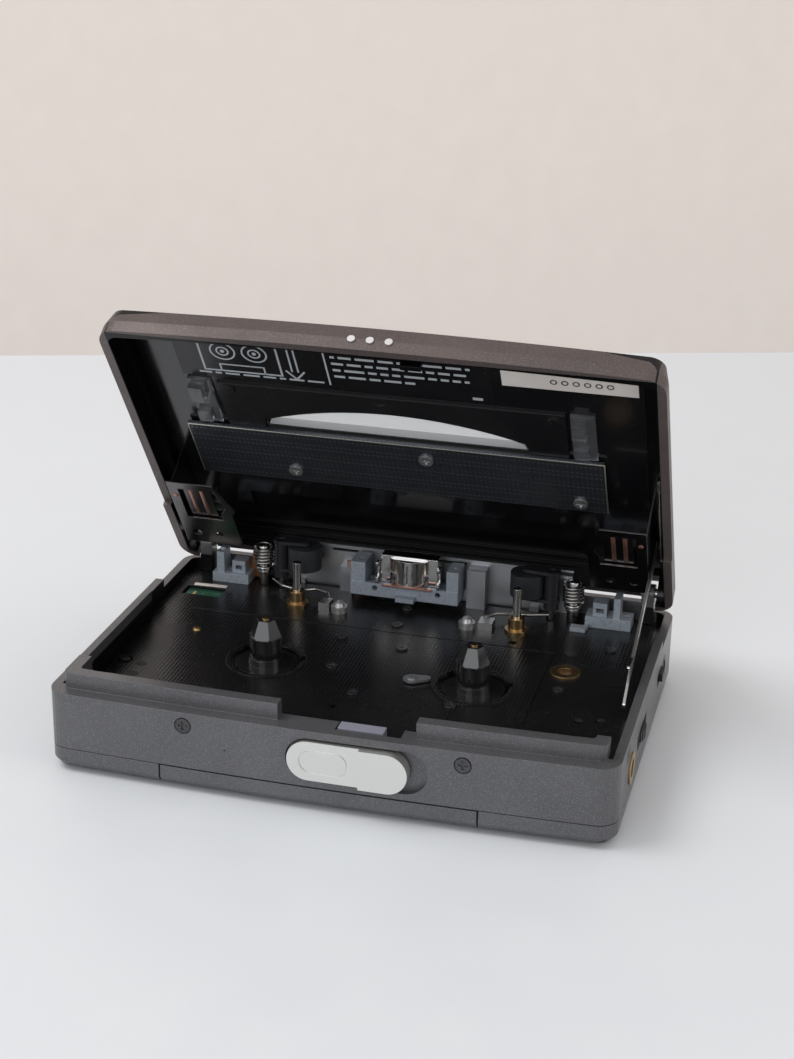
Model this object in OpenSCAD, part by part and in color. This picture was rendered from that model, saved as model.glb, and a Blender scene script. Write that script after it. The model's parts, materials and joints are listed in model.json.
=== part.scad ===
// Pocket cassette player with its lid open: case, deck and tape drive, lid with cassette pocket.
// Millimetres. Origin at the centre of the underside, X along the front, Y to the hinge, Z up.

/* [Case] */
// Width of the case along its front
body_w = 109; // [108:0.5:111]
// Depth of the case from front wall to hinge
body_d = 77.5; // [77:0.5:79]
// Height of the top edge of the case walls
face_z = 15.8; // [15.4:0.1:16.4]
// Height of the joint between the bottom cover and the case
seam_z = 4.4; // [4.2:0.1:4.8]
// Wall thickness of the case
wall_t = 1.8; // [1.6:0.1:2]
// Radius of the vertical corners
corner_r = 4; // [3:0.5:5]
// Bow of the front wall between its middle and its ends
front_bow = 1.3; // [0.8:0.1:1.6]
// Height of the raised ledge behind the front edge
ledge_z = 19; // [18.4:0.1:19.2]

/* [Deck] */
// Height of the deck plate's upper face
deck_z = 11.7; // [11.4:0.1:11.9]
// Distance between the two reel spindles
hub_pitch = 42.5; // [42:0.1:43]
// Height of the spindle tips above the deck
spindle_h = 9; // [8.6:0.1:9.2]
// Distance between the two capstans
capstan_pitch = 47.8; // [47.4:0.1:48.2]
// Radius of each capstan shaft
capstan_r = 0.9; // [0.8:0.05:1]
// Radius of each pinch roller
roller_r = 3.6; // [3.4:0.1:3.7]

/* [Lid] */
// Height of the closed lid's top
lid_top_z = 24.6; // [24.4:0.1:25]
// Angle the lid stands open
lid_open = 55; // [50:1:60]
// Height of the lid's hinge axis
hinge_z = 18.2; // [18:0.1:18.4]
// Thickness of the lid's side walls
lid_t = 1.9; // [1.8:0.1:2]

/* [Controls] */
// Height of the latch slider's centre
latch_z = 10; // [9.6:0.1:10.4]
// Travel of the latch slider
latch_travel = 3; // [2:0.5:3]
// Radius of the volume wheel
volume_r = 6.6; // [6.4:0.1:6.8]

/* [Hidden] */
$fn = 48;
eps = 0.01;
hx = body_w / 2;
hy = body_d / 2;
hinge_y = hy - 1.75;
deck_cx = -0.5;
hub_y = -4.4;
capstan_y = hub_y + 28.6;
deck_t = 1.2;
deck_bot = deck_z - deck_t;
floor_t = 1.4;
front_t = 5.4;
ledge_in = 2.7;
reel_r = 10;
fly_r = 10.5;
fly_z = 2.4;
belt_z = 2.95;
motor_x = 40;
motor_y = 8;
pulley_r = 2;
idler_r = 6;
idler_x = deck_cx - hub_pitch / 2 + 13.4;
idler_y = hub_y + 9.35;
roller_y = capstan_y + 7.4;
roller_z = 17;
roller_h = 5;
door_x0 = -31.4;
door_x1 = 29.4;
door_y1 = -14.4;
rear_top = 14;
skirt_z = 15;
wheel_x = hx - volume_r + 0.8;
wheel_y = -7.5;
jack_y = -21;
jack_z = 7.9;
key_z = 8.6;
key_ys = [24, 12, 0, -12];
rim_z = face_z + 0.3;
post_x = 49;

// ---------- shared shapes ----------

// Front edge of the outline at x, set in by d
function front_y(x, d) = -hy + d + front_bow * pow(x / hx, 2);

// Corner arc from angle a0 to a1
function arc(cx, cy, r, a0, a1, n) = [for (i = [0:n]) [cx + r * cos(a0 + (a1 - a0) * i / n), cy + r * sin(a0 + (a1 - a0) * i / n)]];

// Plan outline of the case, set in by d
function outline(d) = let (
    r = max(corner_r - d, 0.8),
    w = hx - d,
    fx = w - r,
    fy = front_y(fx, d) + r
  ) concat(
    [for (i = [0:12]) let (x = -fx + 2 * fx * i / 12) [x, front_y(x, d)]],
    [for (p = arc(fx, fy, r, -82, 0, 6)) p],
    arc(fx, hy - d - r, r, 0, 90, 6),
    arc(-fx, hy - d - r, r, 90, 180, 6),
    [for (p = arc(-fx, fy, r, 180, 262, 6)) p]
  );

module plan(d) {
  polygon(outline(d));
}

module slab(z0, z1, d) {
  translate([0, 0, z0])
    linear_extrude(z1 - z0)
      plan(d);
}

module box(x0, y0, z0, x1, y1, z1) {
  translate([x0, y0, z0])
    cube([x1 - x0, y1 - y0, z1 - z0]);
}

module tube(x, y, z0, z1, r1, r0) {
  translate([x, y, z0])
    difference() {
      cylinder(h = z1 - z0, r = r1);
      translate([0, 0, -1])
        cylinder(h = z1 - z0 + 2, r = r0);
    }
}

module rod(x, y, z0, z1, r) {
  translate([x, y, z0])
    cylinder(h = z1 - z0, r = r);
}

// Cross-head screw whose seat is at the origin, head upwards
module screw(r, h) {
  difference() {
    cylinder(h = h, r = r, $fn = 24);
    for (a = [0, 90])
      rotate([0, 0, a])
        translate([-r * 0.6, -r * 0.14, h * 0.45])
          cube([r * 1.2, r * 0.28, h]);
  }
}

// Places closed-lid shapes at the angle the lid stands open
module lid_pose() {
  translate([0, hinge_y, hinge_z])
    rotate([-lid_open, 0, 0])
      translate([0, -hinge_y, -hinge_z])
        children();
}

module gear(r, teeth, h, tooth) {
  pts = [for (i = [0:teeth - 1]) for (k = [[-0.3, -tooth], [-0.16, 0], [0.16, 0], [0.3, -tooth]])
    let (a = (i + k[0]) * 360 / teeth) [(r + k[1]) * cos(a), (r + k[1]) * sin(a)]];
  linear_extrude(h)
    polygon(pts);
}

// Coil spring drawn as stacked rings
module coil(r, wire, turns, pitch) {
  for (i = [0:turns - 1])
    translate([0, 0, wire + i * pitch])
      rotate_extrude($fn = 32)
        translate([r - wire, 0])
          circle(r = wire, $fn = 16);
}

// Round wire along a run of points in one plane
module wire_run(pts, r) {
  for (i = [0:len(pts) - 2]) {
    a = pts[i];
    b = pts[i + 1];
    v = b - a;
    l = norm(v) + r * 0.7;
    translate(a)
      rotate([0, acos(v[2] / norm(v)), atan2(v[1], v[0])])
        cylinder(h = l, r = r, $fn = 16);
  }
}

// ---------- case ----------

module ledge() {
  intersection() {
    translate([0, 0, face_z - 0.5])
      linear_extrude(ledge_z - face_z + 0.5)
        difference() {
          plan(ledge_in);
          plan(front_t - 0.2);
          translate([-8.9, -hy - 1])
            square([26.2, 20]);
        }
    union() {
      box(-hx, -hy - 1, face_z - 1, -hx + 8, -27, ledge_z + 1);
      box(-hx + 8, -hy - 1, face_z - 1, 47, -hy + front_t + 0.6, ledge_z + 1);
      box(46, -hy - 1, face_z - 1, hx, -31, ledge_z + 1);
    }
  }
}

module main_case() {
  color([0.13, 0.125, 0.13])
    difference() {
      union() {
        difference() {
          slab(seam_z, face_z, 0);
          translate([0, 0, seam_z - 1])
            linear_extrude(face_z)
              difference() {
                plan(wall_t);
                translate([-hx, -hy - 1])
                  square([body_w, front_t + 1]);
              }
        }
        ledge();
        // Left wall carries a raised lip behind the ledge
        box(-hx + 1.7, -28, 12.2, -hx + 3.4, 8, face_z);
        box(-hx + 2.3, -28, face_z - 0.5, -hx + 3.4, 8, ledge_z - 1.2);
        // Hinge posts
        for (s = [-1, 1])
          difference() {
            union() {
              box(s * post_x - 1.3, hinge_y - 1.9, deck_z + 0.1, s * post_x + 1.3, hinge_y + 1.6, hinge_z);
              translate([s * post_x - 1.3, hinge_y, hinge_z])
                rotate([0, 90, 0])
                  cylinder(h = 2.6, r = 1.9);
            }
            translate([s * post_x - 2, hinge_y, hinge_z])
              rotate([0, 90, 0])
                cylinder(h = 4, r = 1);
          }
      }
      // Rear walls are lower so the lid can swing
      box(-hx - 1, 19, rear_top, -post_x - 1.3, hy + 1, face_z + 5);
      box(post_x + 1.3, 19, rear_top, hx + 1, hy + 1, face_z + 5);
      box(-post_x + 1.3, hy - wall_t - 0.3, hinge_z - 1.8, post_x - 1.3, hy + 1, face_z + 5);
      // Room for the battery cell inside the thick front wall
      box(-30.6, -hy + wall_t + 0.4, seam_z - 1, 28.6, -14.4, 7.4);
      latch_room();
      // Seats for the two front screws
      for (x = [-26.6, 26.6])
        translate([x, front_y(x, 0) + 0.5, 13.1])
          rotate([90, 0, 0])
            cylinder(h = 2, r = 1.65);
      // Volume wheel slot, headphone and power sockets, switch slot
      box(hx - 4, wheel_y - 5.8, 7.2, hx + 1, wheel_y + 5.8, 10.2);
      translate([hx - 4, jack_y, jack_z])
        rotate([0, 90, 0])
          cylinder(h = 8, r = 2.52);
      translate([hx - 4, 24, 7.8])
        rotate([0, 90, 0])
          cylinder(h = 8, r = 2.42);
      box(hx - 4, 14, 7.5, hx + 1, 20.6, 10);
      // Slots for the four keys
      for (y = key_ys)
        box(-hx - 1, y - 3.95, key_z - 1.65, -hx + 4, y + 3.95, key_z + 1.65);
      // Grip lines at the latch end of the right wall
      for (i = [0:2])
        box(hx - 0.3, -27.6 + i * 1.4, 11.6, hx + 1, -27 + i * 1.4, 14.4);
    }
}

module bottom_cover() {
  color([0.12, 0.118, 0.122])
    difference() {
      union() {
        difference() {
          hull() {
            slab(0, 0.1, 2);
            slab(0.5, 0.6, 0.8);
            slab(1.6, seam_z - 0.15, 0);
          }
          slab(floor_t, seam_z + 1, wall_t);
        }
        for (x = [-46, 46])
          rod(x, -27.5, floor_t - eps, seam_z, 2.4);
        for (x = [-46, 46])
          rod(x, 31, floor_t - eps, seam_z, 2.4);
        for (s = [-1, 1])
          rod(deck_cx + s * capstan_pitch / 2, capstan_y, floor_t - eps, 2, 3);
        for (s = [-1, 1])
          rod(deck_cx + s * hub_pitch / 2, hub_y, floor_t - eps, 5.6, 2.4);
        box(door_x0 - 1.6, -hy + 2.2, floor_t - eps, door_x0 - 0.4, door_y1 + 1, seam_z - 0.3);
        box(door_x1 + 0.4, -hy + 2.2, floor_t - eps, door_x1 + 1.6, door_y1 + 1, seam_z - 0.3);
      }
      box(door_x0 - 0.3, -hy - 1, -1, door_x1 + 0.3, door_y1 + 0.3, seam_z + 1);
      for (s = [-1, 1])
        rod(deck_cx + s * hub_pitch / 2, hub_y, 1, 6, 0.75);
      for (x = [-46, 46])
        for (y = [-27.5, 31])
          translate([x, y, -1]) {
            cylinder(h = 10, r = 0.9);
            cylinder(h = 1.8, r = 1.9);
          }
    }
}

module deck_outline() {
  difference() {
    plan(wall_t + 0.1);
    translate([-hx, -hy - 1])
      square([body_w, front_t + 1.1]);
    for (s = [-1, 1])
      translate([s * post_x - 1.5, hinge_y - 2.1])
        square([3, 6]);
  }
}

module deck_plate() {
  color([0.05, 0.05, 0.055])
    difference() {
      union() {
        translate([0, 0, deck_bot])
          linear_extrude(deck_t)
            deck_outline();
        // Low rim around each spindle hole and small raised rests
        for (s = [-1, 1])
          tube(deck_cx + s * hub_pitch / 2, hub_y, deck_z - eps, deck_z + 0.25, 8.1, 7.2);
        for (x = [-30, 29])
          box(x - 0.8, -30, deck_z - eps, x + 0.8, -24, deck_z + 0.5);
        // Wall of the battery room and the posts for the cover screws
        box(-31.6, -15.2, seam_z + 0.4, 29.6, -14.5, deck_bot + eps);
        for (x = [-46, 46])
          for (y = [-27.5, 31])
            tube(x, y, seam_z + 0.2, deck_bot + eps, 2.4, 0.9);
      }
      for (s = [-1, 1])
        rod(deck_cx + s * hub_pitch / 2, hub_y, deck_bot - 1, deck_z + 1, 6.85);
      for (s = [-1, 1])
        for (a = [20, 140, 260])
          translate([deck_cx + s * hub_pitch / 2, hub_y, deck_bot - 1])
            rotate([0, 0, a])
              translate([6, -1, 0])
                cube([1.9, 2, 4]);
      for (s = [-1, 1])
        rod(deck_cx + s * capstan_pitch / 2, capstan_y, deck_bot - 1, deck_z + 1, 2.4);
      // Board window, adjusting holes and small notches
      box(-50, 22.2, deck_bot - 1, -41.4, 26.6, deck_z + 1);
      for (p = [[-45, -13.3], [-45.2, -17.8], [42.9, -12.9], [46.9, -11.7], [-3, -20], [24, 18]])
        rod(p[0], p[1], deck_bot - 1, deck_z + 1, 0.8);
      rod(-48.9, -12.2, deck_z - 0.5, deck_z + 1, 1.6);
      rod(36.9, 7.1, deck_bot - 1, deck_z + 1, 2.4);
      // Step line between the patterned floor and the plain rear strip
      box(-46, 15.4, deck_z - 0.2, 33, 15.8, deck_z + 1);
      box(33, -20, deck_z - 0.2, 33.4, 15.8, deck_z + 1);
      // Slots for the moving frame behind the deck
      box(-30, 34.7, deck_bot - 2, 28, 36.9, deck_z + 1);
    }
}

module guide_bracket_left() {
  color([0.42, 0.43, 0.45])
    difference() {
      union() {
        box(-45.8, 30.4, deck_z, -37.6, 35, deck_z + 2.2);
        box(-44.9, 30.8, deck_z, -43.2, 34.8, 18.6);
        box(-41.6, 31.4, deck_z, -38.6, 34.8, 16.6);
        translate([-44.05, 32.8, 18.5])
          cylinder(h = 0.6, r1 = 0.85, r2 = 0.5);
      }
      rod(-42.4, 32.6, deck_z + 1.2, deck_z + 3, 0.6);
      box(-40.8, 31, 14.6, -39.4, 36, 15.6);
    }
}

module guide_bracket_right() {
  color([0.42, 0.43, 0.45])
    difference() {
      union() {
        box(36.8, 30.2, deck_z, 46.4, 34.8, deck_z + 2.4);
        box(38.2, 31, deck_z, 41.2, 34.6, 17);
        box(42.6, 30.6, deck_z, 44, 34.4, 18.6);
        box(34.2, 27, deck_z, 37.4, 29, deck_z + 0.9);
        box(36.8, 28.6, deck_z, 37.6, 30.4, deck_z + 0.9);
      }
      rod(45.4, 32.4, deck_z + 1.4, deck_z + 3, 0.7);
      box(38.9, 30, 14.8, 40.5, 35, 15.8);
    }
}

module capstan_bushings() {
  color([0.72, 0.53, 0.27])
    for (s = [-1, 1]) {
      x = deck_cx + s * capstan_pitch / 2;
      tube(x, capstan_y, deck_bot - 1.4, deck_z + 3, 1.7, capstan_r + 0.05);
      tube(x, capstan_y, deck_bot - 0.6, deck_z + 0.5, 2.4, 1.6);
    }
}

module locating_pins() {
  color([0.55, 0.55, 0.56])
    for (x = [-14.6, 13.2]) {
      translate([x, 22.7, deck_z])
        cylinder(h = 1.3, r = 1.75);
      translate([x, 22.7, deck_z + 1.3])
        cylinder(h = 0.8, r1 = 1.2, r2 = 0.95);
      translate([x, 22.7, deck_z + 2.1])
        cylinder(h = 0.4, r1 = 0.95, r2 = 0.4);
    }
}

module reel_shafts() {
  color([0.75, 0.68, 0.5])
    for (s = [-1, 1])
      rod(deck_cx + s * hub_pitch / 2, hub_y, 1.2, deck_z + spindle_h + 0.25, 0.75);
}

module deck_screws() {
  color([0.2, 0.2, 0.21])
    for (p = [[36.5, 15.7], [37, -1], [18.4, -13.8], [-1.1, 28.3], [-0.9, 19.3], [-8.3, -3.6], [-10.3, 10.4], [3, 8.5], [-1.1, -13.7], [-36, -26], [44, 20]])
      translate([p[0], p[1], deck_z])
        screw(1.15, 0.4);
}

module deck_eyelets() {
  color([0.7, 0.52, 0.28]) {
    tube(36.9, 7.1, deck_bot, deck_z + 0.1, 2.38, 1.5);
    tube(36.9, 7.1, deck_z, deck_z + 0.35, 3.05, 1.5);
    translate([-40.2, 5.4, deck_z])
      cylinder(h = 0.4, r1 = 1, r2 = 0.7);
  }
}

module case_screws() {
  color([0.35, 0.35, 0.36]) {
    for (p = [[-26.6, 13.1], [26.6, 13.1]])
      translate([p[0], front_y(p[0], 0) + 0.5, p[1]])
        rotate([90, 0, 0])
          screw(1.45, 0.55);
    for (x = [-46, 46])
      for (y = [-27.5, 31])
        translate([x, y, 0.75])
          mirror([0, 0, 1])
            screw(1.7, 0.6);
    for (x = [-46, 46])
      rod(x, -27.5, 0.7, 8, 0.88);
    for (x = [-46, 46])
      rod(x, 31, 0.7, seam_z + 0.3, 0.88);
  }
}

module main_pcb() {
  color([0.1, 0.32, 0.2])
    difference() {
      union() {
        box(-50, -24, 8.2, -37, 28, 9.2);
        box(-49, 23, 9.1, -42.6, 24.6, 9.9);
        box(-48, -10, 6.9, -40, 2, 8.3);
        for (i = [0:5])
          box(-49 + i * 2, 10, 9.1, -48 + i * 2, 11.6, 9.7);
      }
      rod(-46, -20, 7, 10, 1.1);
    }
}

module control_pcb() {
  color([0.1, 0.3, 0.2]) {
    box(31.8, -24, 3.6, 50.6, -2, 4.4);
    box(34, -22, 4.3, 38, -18, 5.6);
    box(34, -12, 4.3, 39, -8, 5.4);
    box(46, -16, 4.3, 50, -12.4, 5.2);
  }
}

module motor() {
  color([0.6, 0.61, 0.63]) {
    difference() {
      rod(motor_x, motor_y, 4.9, deck_bot, 8.4);
      rod(motor_x, motor_y, 4, 6, 1.2);
    }
    tube(motor_x, motor_y, 4.5, 5, 2.6, 1.2);
    for (a = [40, 220])
      translate([motor_x, motor_y, 6.5])
        rotate([0, 0, a])
          translate([8, -1.2, 0])
            cube([2, 2.4, 0.8]);
  }
}

module battery_contacts() {
  color([0.78, 0.76, 0.68]) {
    box(-30.5, -33, 1.8, -30.1, -19, 7.2);
    translate([-30.1, -26, 4.8])
      rotate([0, 90, 0])
        coil(2.4, 0.25, 4, 0.6);
    box(28.1, -33, 1.8, 28.5, -19, 7.2);
    translate([27.4, -26, 4.8])
      rotate([0, 90, 0])
        cylinder(h = 0.8, r = 1.6);
  }
}

module headphone_jack() {
  color([0.8, 0.62, 0.3])
    translate([0, jack_y, jack_z])
      rotate([0, 90, 0])
        difference() {
          union() {
            translate([0, 0, hx - 9])
              cylinder(h = 9.1, r = 2.5);
            translate([-2.5, -2.5, hx - 14])
              cube([5, 5, 7]);
            translate([0, 0, hx])
              cylinder(h = 0.3, r = 3.1);
          }
          translate([0, 0, hx - 13])
            cylinder(h = 14, r = 1.8);
        }
}

module dc_jack() {
  color([0.15, 0.15, 0.16])
    translate([0, 24, 7.8])
      rotate([0, 90, 0]) {
        difference() {
          translate([0, 0, hx - 7.6])
            cylinder(h = 7.7, r = 2.4);
          translate([0, 0, hx - 7])
            cylinder(h = 8, r = 1.7);
        }
        translate([0, 0, hx - 7.2])
          cylinder(h = 6.4, r = 0.5);
      }
}

module carriage_rail() {
  color([0.62, 0.63, 0.65])
    difference() {
      union() {
        box(-28, 35.9, deck_z, 33, 36.5, 21.5);
        box(-28, 35.5, 20.9, 28, 36.5, 21.5);
        box(28.6, 33.4, 20.6, 33.2, 36.4, 21.3);
        box(-28, 34.9, deck_z - 1.2, -26, 36.5, deck_z + 1);
        box(24, 34.9, deck_z - 1.2, 26, 36.5, deck_z + 1);
        box(10.8, 32.4, deck_z, 14.8, 36.2, 20.4);
        box(-17.6, 33.4, deck_z, -15, 36.2, 17.4);
      }
      for (x = [-24, -6, 12, 22])
        translate([x, 37.2, 16])
          rotate([90, 0, 0])
            cylinder(h = 2, r = 1.2);
      for (x = [-20, 4])
        box(x, 35.2, 20, x + 6, 36.9, 20.6);
    }
}

module belt_loop(g) {
  difference() {
    hull() {
      translate([deck_cx - capstan_pitch / 2, capstan_y])
        circle(r = fly_r - 0.7 + g);
      translate([motor_x, motor_y])
        circle(r = pulley_r - 0.4 + g);
    }
    translate([deck_cx + capstan_pitch / 2, capstan_y])
      circle(r = fly_r + 0.07 - g);
  }
}

module drive_belt() {
  color([0.05, 0.05, 0.05])
    translate([0, 0, belt_z])
      linear_extrude(0.7)
        difference() {
          belt_loop(0.71);
          belt_loop(0.06);
        }
}

module hinge_pins() {
  color([0.7, 0.7, 0.72])
    for (s = [-1, 1])
      translate([s > 0 ? post_x - 1.6 : -post_x - 4.2, hinge_y, hinge_z])
        rotate([0, 90, 0])
          cylinder(h = 5.8, r = 1);
}

module pinch_coils() {
  color([0.66, 0.66, 0.68]) {
    translate([-34.4, 32.2, deck_z + 4.6])
      coil(2.1, 0.3, 6, 0.72);
    translate([33.8, 32.2, deck_z + 4.2])
      coil(2.1, 0.3, 6, 0.72);
    rod(-34.4, 32.2, deck_z, deck_z + 9.4, 1.2);
    rod(33.8, 32.2, deck_z, deck_z + 9, 1.2);
    rod(-34.4, 32.2, deck_z + 3.6, deck_z + 4.4, 1.9);
    rod(33.8, 32.2, deck_z + 3.2, deck_z + 4, 1.9);
    // Fixed pins the roller arms turn on
    rod(roller_xl - arm_l, roller_y, deck_z, roller_z + roller_h + 1.1, 0.88);
    rod(roller_xr + arm_l, roller_y, deck_z, roller_z + roller_h + 1.1, 0.88);
  }
}

module wire_springs() {
  color([0.7, 0.7, 0.72]) {
    wire_run([[-32, 31, 13.6], [-29, 28.2, 13.6], [-25, 27.6, 13.2], [-21.6, 28.4, 13.6], [-18.6, 27.4, 13.6], [-17.6, 25.2, 13.2]], 0.32);
    box(-19.2, 22.6, deck_z, -16.8, 25.6, deck_z + 1.5);
    wire_run([[29, 30.2, 13.4], [25, 28.4, 13.6], [21.5, 28.6, 13.2], [18.4, 27.6, 13.4], [16.4, 25.6, 13.2]], 0.32);
    box(15.6, 22.4, deck_z, 18.6, 25.8, deck_z + 1.5);
  }
}

// ---------- lid, drawn closed and swung open ----------

module lid_solid(g) {
  hull() {
    slab(rim_z, rim_z + 2.6, g);
    slab(lid_top_z - 2.6 - g, lid_top_z - 2.5 - g, g + 0.9);
    slab(lid_top_z - 0.9 - g, lid_top_z - 0.8 - g, g + 3);
    slab(lid_top_z - 0.1 - g, lid_top_z - g, g + 6.4);
  }
}

module lid_shell() {
  color([0.17, 0.155, 0.15])
    lid_pose()
      difference() {
        union() {
          difference() {
            union() {
              lid_solid(0);
              difference() {
                slab(skirt_z, rim_z + 1, 0);
                box(-hx - 1, -hy - 1, skirt_z - 1, hx + 1, 19.4, rim_z);
              }
            }
            union() {
              slab(skirt_z - 1, rim_z + 4, lid_t);
              slab(rim_z + 3.9, lid_top_z - 1.8, lid_t + 1.1);
              slab(lid_top_z - 1.9, lid_top_z - 1.1, lid_t + 3.3);
            }
          }
          for (s = [-1, 1])
            intersection() {
              translate([s * (hx - 2.7) - 0.85, hinge_y, hinge_z])
                rotate([0, 90, 0])
                  cylinder(h = 1.7, r = 3.1);
              slab(skirt_z - 1, rim_z + 6, 0);
            }
          // Striker for the latch tab
          box(5, -hy + 4.2, rim_z + 0.4, 9, -hy + 5.4, lid_top_z - 1.4);
        }
        // Clearance for the hinge posts
        for (s = [-1, 1])
          box(s * post_x - 1.7, hinge_y - 2.6, skirt_z - 1, s * post_x + 1.7, hy + 1, hinge_z + 3.6);
        // Pivot bores
        for (s = [-1, 1])
          translate([s * (hx - 2.5) - 1.6, hinge_y, hinge_z])
            rotate([0, 90, 0])
              cylinder(h = 3.2, r = 1.06);
        // Rear wall stops above the hinge line, so it swings clear of the mechanism
        box(-48.6, 34, skirt_z - 1, 48.6, hy + 1, hinge_z);
        // Relief over the rail behind the mechanism
        box(-34.5, 30, rim_z + 1, 34.5, 36.8, 21.9);
        // Window opening
        translate([0, 0, lid_top_z - 3])
          linear_extrude(5)
            window_shape(0);
      }
}

// Arched window, flat side towards the hinge
module window_shape(g) {
  polygon(concat(
    [[-28 - g, -3.4 + g], [25.4 + g, -3.4 + g]],
    [for (i = [0:16]) let (x = 26.2 + g - (52.4 + 2 * g) * i / 16) [x - 1.3, -4.6 - g - 5.6 * (1 - pow(x / (27 + g), 2))]]
  ));
}

module lid_liner() {
  color([0.03, 0.03, 0.032])
    lid_pose()
      difference() {
        slab(lid_top_z - 1.8, lid_top_z - 1.1, lid_t + 3.4);
        translate([0, 0, lid_top_z - 3])
          linear_extrude(5)
            window_shape(0.2);
        box(-37.4, 22, lid_top_z - 3, 37.4, hy, lid_top_z);
        box(-hx, 28.4, lid_top_z - 3, hx, hy, lid_top_z);
      }
}

module lid_window() {
  color([0.75, 0.78, 0.8, 0.4])
    lid_pose()
      translate([0, 0, lid_top_z - 1.75])
        linear_extrude(1.6)
          window_shape(-0.02);
}

module window_panel() {
  color([0.03, 0.03, 0.03])
    lid_pose()
      difference() {
        union() {
          box(-36.6, -16.2, lid_top_z - 2.3, 33.8, -1.2, lid_top_z - 1.8);
          for (p = [[-34.4, -14.4], [31.6, -14]])
            rod(p[0], p[1], lid_top_z - 2.7, lid_top_z - 2.2, 1.4);
        }
        translate([0, 0, lid_top_z - 4])
          linear_extrude(5)
            window_shape(0.8);
        rod(-33.4, -4.4, lid_top_z - 3, lid_top_z - 2.1, 1.3);
        rod(-3, -14.8, lid_top_z - 3, lid_top_z - 2.1, 1.1);
      }
}

plate_screws = [[-24.6, 10.4], [4.4, 2], [35.4, 11.4]];

module holder_plate() {
  color([0.5, 0.52, 0.54])
    lid_pose()
      difference() {
        union() {
          box(-45.6, -2.2, lid_top_z - 3, 40.8, 14.2, lid_top_z - 2.6);
          box(-45.6, -2.6, lid_top_z - 3, 40.8, -2.2, lid_top_z - 2.35);
          for (p = plate_screws)
            rod(p[0], p[1], lid_top_z - 2.7, lid_top_z - 1.8, 2.4);
        }
        for (p = plate_screws)
          rod(p[0], p[1], lid_top_z - 4, lid_top_z - 1, 0.7);
      }
}

module holder_screws() {
  color([0.75, 0.75, 0.76])
    lid_pose()
      for (p = plate_screws) {
        translate([p[0], p[1], lid_top_z - 3])
          mirror([0, 0, 1])
            screw(1.5, 0.5);
        rod(p[0], p[1], lid_top_z - 3.02, lid_top_z - 1.9, 0.68);
      }
}

module retainers() {
  color([0.7, 0.72, 0.74, 0.5])
    lid_pose()
      for (p = [[-42.6, -17], [34.8, -16.6]]) {
        box(p[0], p[1], lid_top_z - 2.5, p[0] + 4.8, p[1] + 13.6, lid_top_z - 1.8);
        box(p[0] + 0.4, p[1] + 1, lid_top_z - 4.2, p[0] + 3.2, p[1] + 5.6, lid_top_z - 2.4);
        box(p[0] + 0.4, p[1] + 9.4, lid_top_z - 3.6, p[0] + 3.2, p[1] + 12.6, lid_top_z - 2.4);
      }
}

module info_label() {
  color([0.04, 0.04, 0.045])
    lid_pose()
      box(-43.2, -31.4, lid_top_z - 1.95, 20.2, -17.8, lid_top_z - 1.8);
}

module serial_label() {
  color([0.8, 0.8, 0.78])
    lid_pose()
      box(22.2, -31, lid_top_z - 1.95, 48.2, -23.6, lid_top_z - 1.8);
}

module pocket(s, x_in, x_mid) {
  xo = 50.2;
  zp = deck_z + 1;
  difference() {
    union() {
      translate([0, 0, zp])
        linear_extrude(0.4)
          polygon([[s * xo, 7], [s * (x_mid + 3.4), 7], [s * x_mid, 15.6], [s * x_in, 17], [s * x_in, 28.6], [s * xo, 28.6]]);
      box(min(s * xo, s * (xo - 0.4)), 9, zp, max(s * xo, s * (xo - 0.4)), 27, lid_top_z - 1.8);
      box(min(s * xo, s * (xo - 5)), 22.6, lid_top_z - 2.2, max(s * xo, s * (xo - 5)), 27, lid_top_z - 1.8);
    }
    translate([0, 0, zp - 1])
      linear_extrude(3)
        polygon([[s * (xo - 2.2), 9], [s * (x_mid + 3.6), 9], [s * (x_mid + 2), 14.6], [s * (x_in + 2.4), 16.8], [s * (x_in + 2.4), 19.4], [s * (xo - 2.2), 19.4]]);
    rod(s * (xo - 3), 25, zp - 1, zp + 1, 1);
    rod(s * (xo - 8), 25, zp - 1, zp + 1, 0.8);
  }
  // Spring leaf behind the window
  box(min(s * (xo - 9), s * (xo - 3)), 9.4, zp + 0.7, max(s * (xo - 9), s * (xo - 3)), 21.4, zp + 1);
  box(min(s * (xo - 8), s * (xo - 4)), 20.2, zp + 0.35, max(s * (xo - 8), s * (xo - 4)), 21.4, zp + 0.8);
}

module pocket_left() {
  color([0.78, 0.78, 0.8])
    lid_pose()
      pocket(-1, 37.6, 36.6);
}

module pocket_right() {
  color([0.78, 0.78, 0.8])
    lid_pose()
      pocket(1, 38, 37.4);
}

module rim_studs() {
  color([0.7, 0.7, 0.68])
    lid_pose()
      for (x = [-4, -0.4, 3.2])
        translate([x, front_y(x, 0), 18.4])
          rotate([90, 0, 0])
            cylinder(h = 0.3, r = 0.75, $fn = 24);
}

// Thin wire hook beside the stay
module lid_spring() {
  color([0.7, 0.71, 0.73])
    lid_pose() {
      wire_run([[51.9, 1.6, 19.3], [51.9, -0.8, 19.1], [51.9, 8, 18.5], [51.9, 26, 18.3]], 0.35);
      box(51.6, -2, 18.7, 52.6, 2, 19.5);
      box(51.6, 24, 17.9, 52.6, 27, 18.7);
    }
}

// ---------- moving pieces ----------

stay_y = hinge_y - 15 * cos(lid_open) + 2 * sin(lid_open);
stay_z = hinge_z + 15 * sin(lid_open) + 2 * cos(lid_open);
slide_y = -7.5;
slide_z = 13.9;

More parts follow.
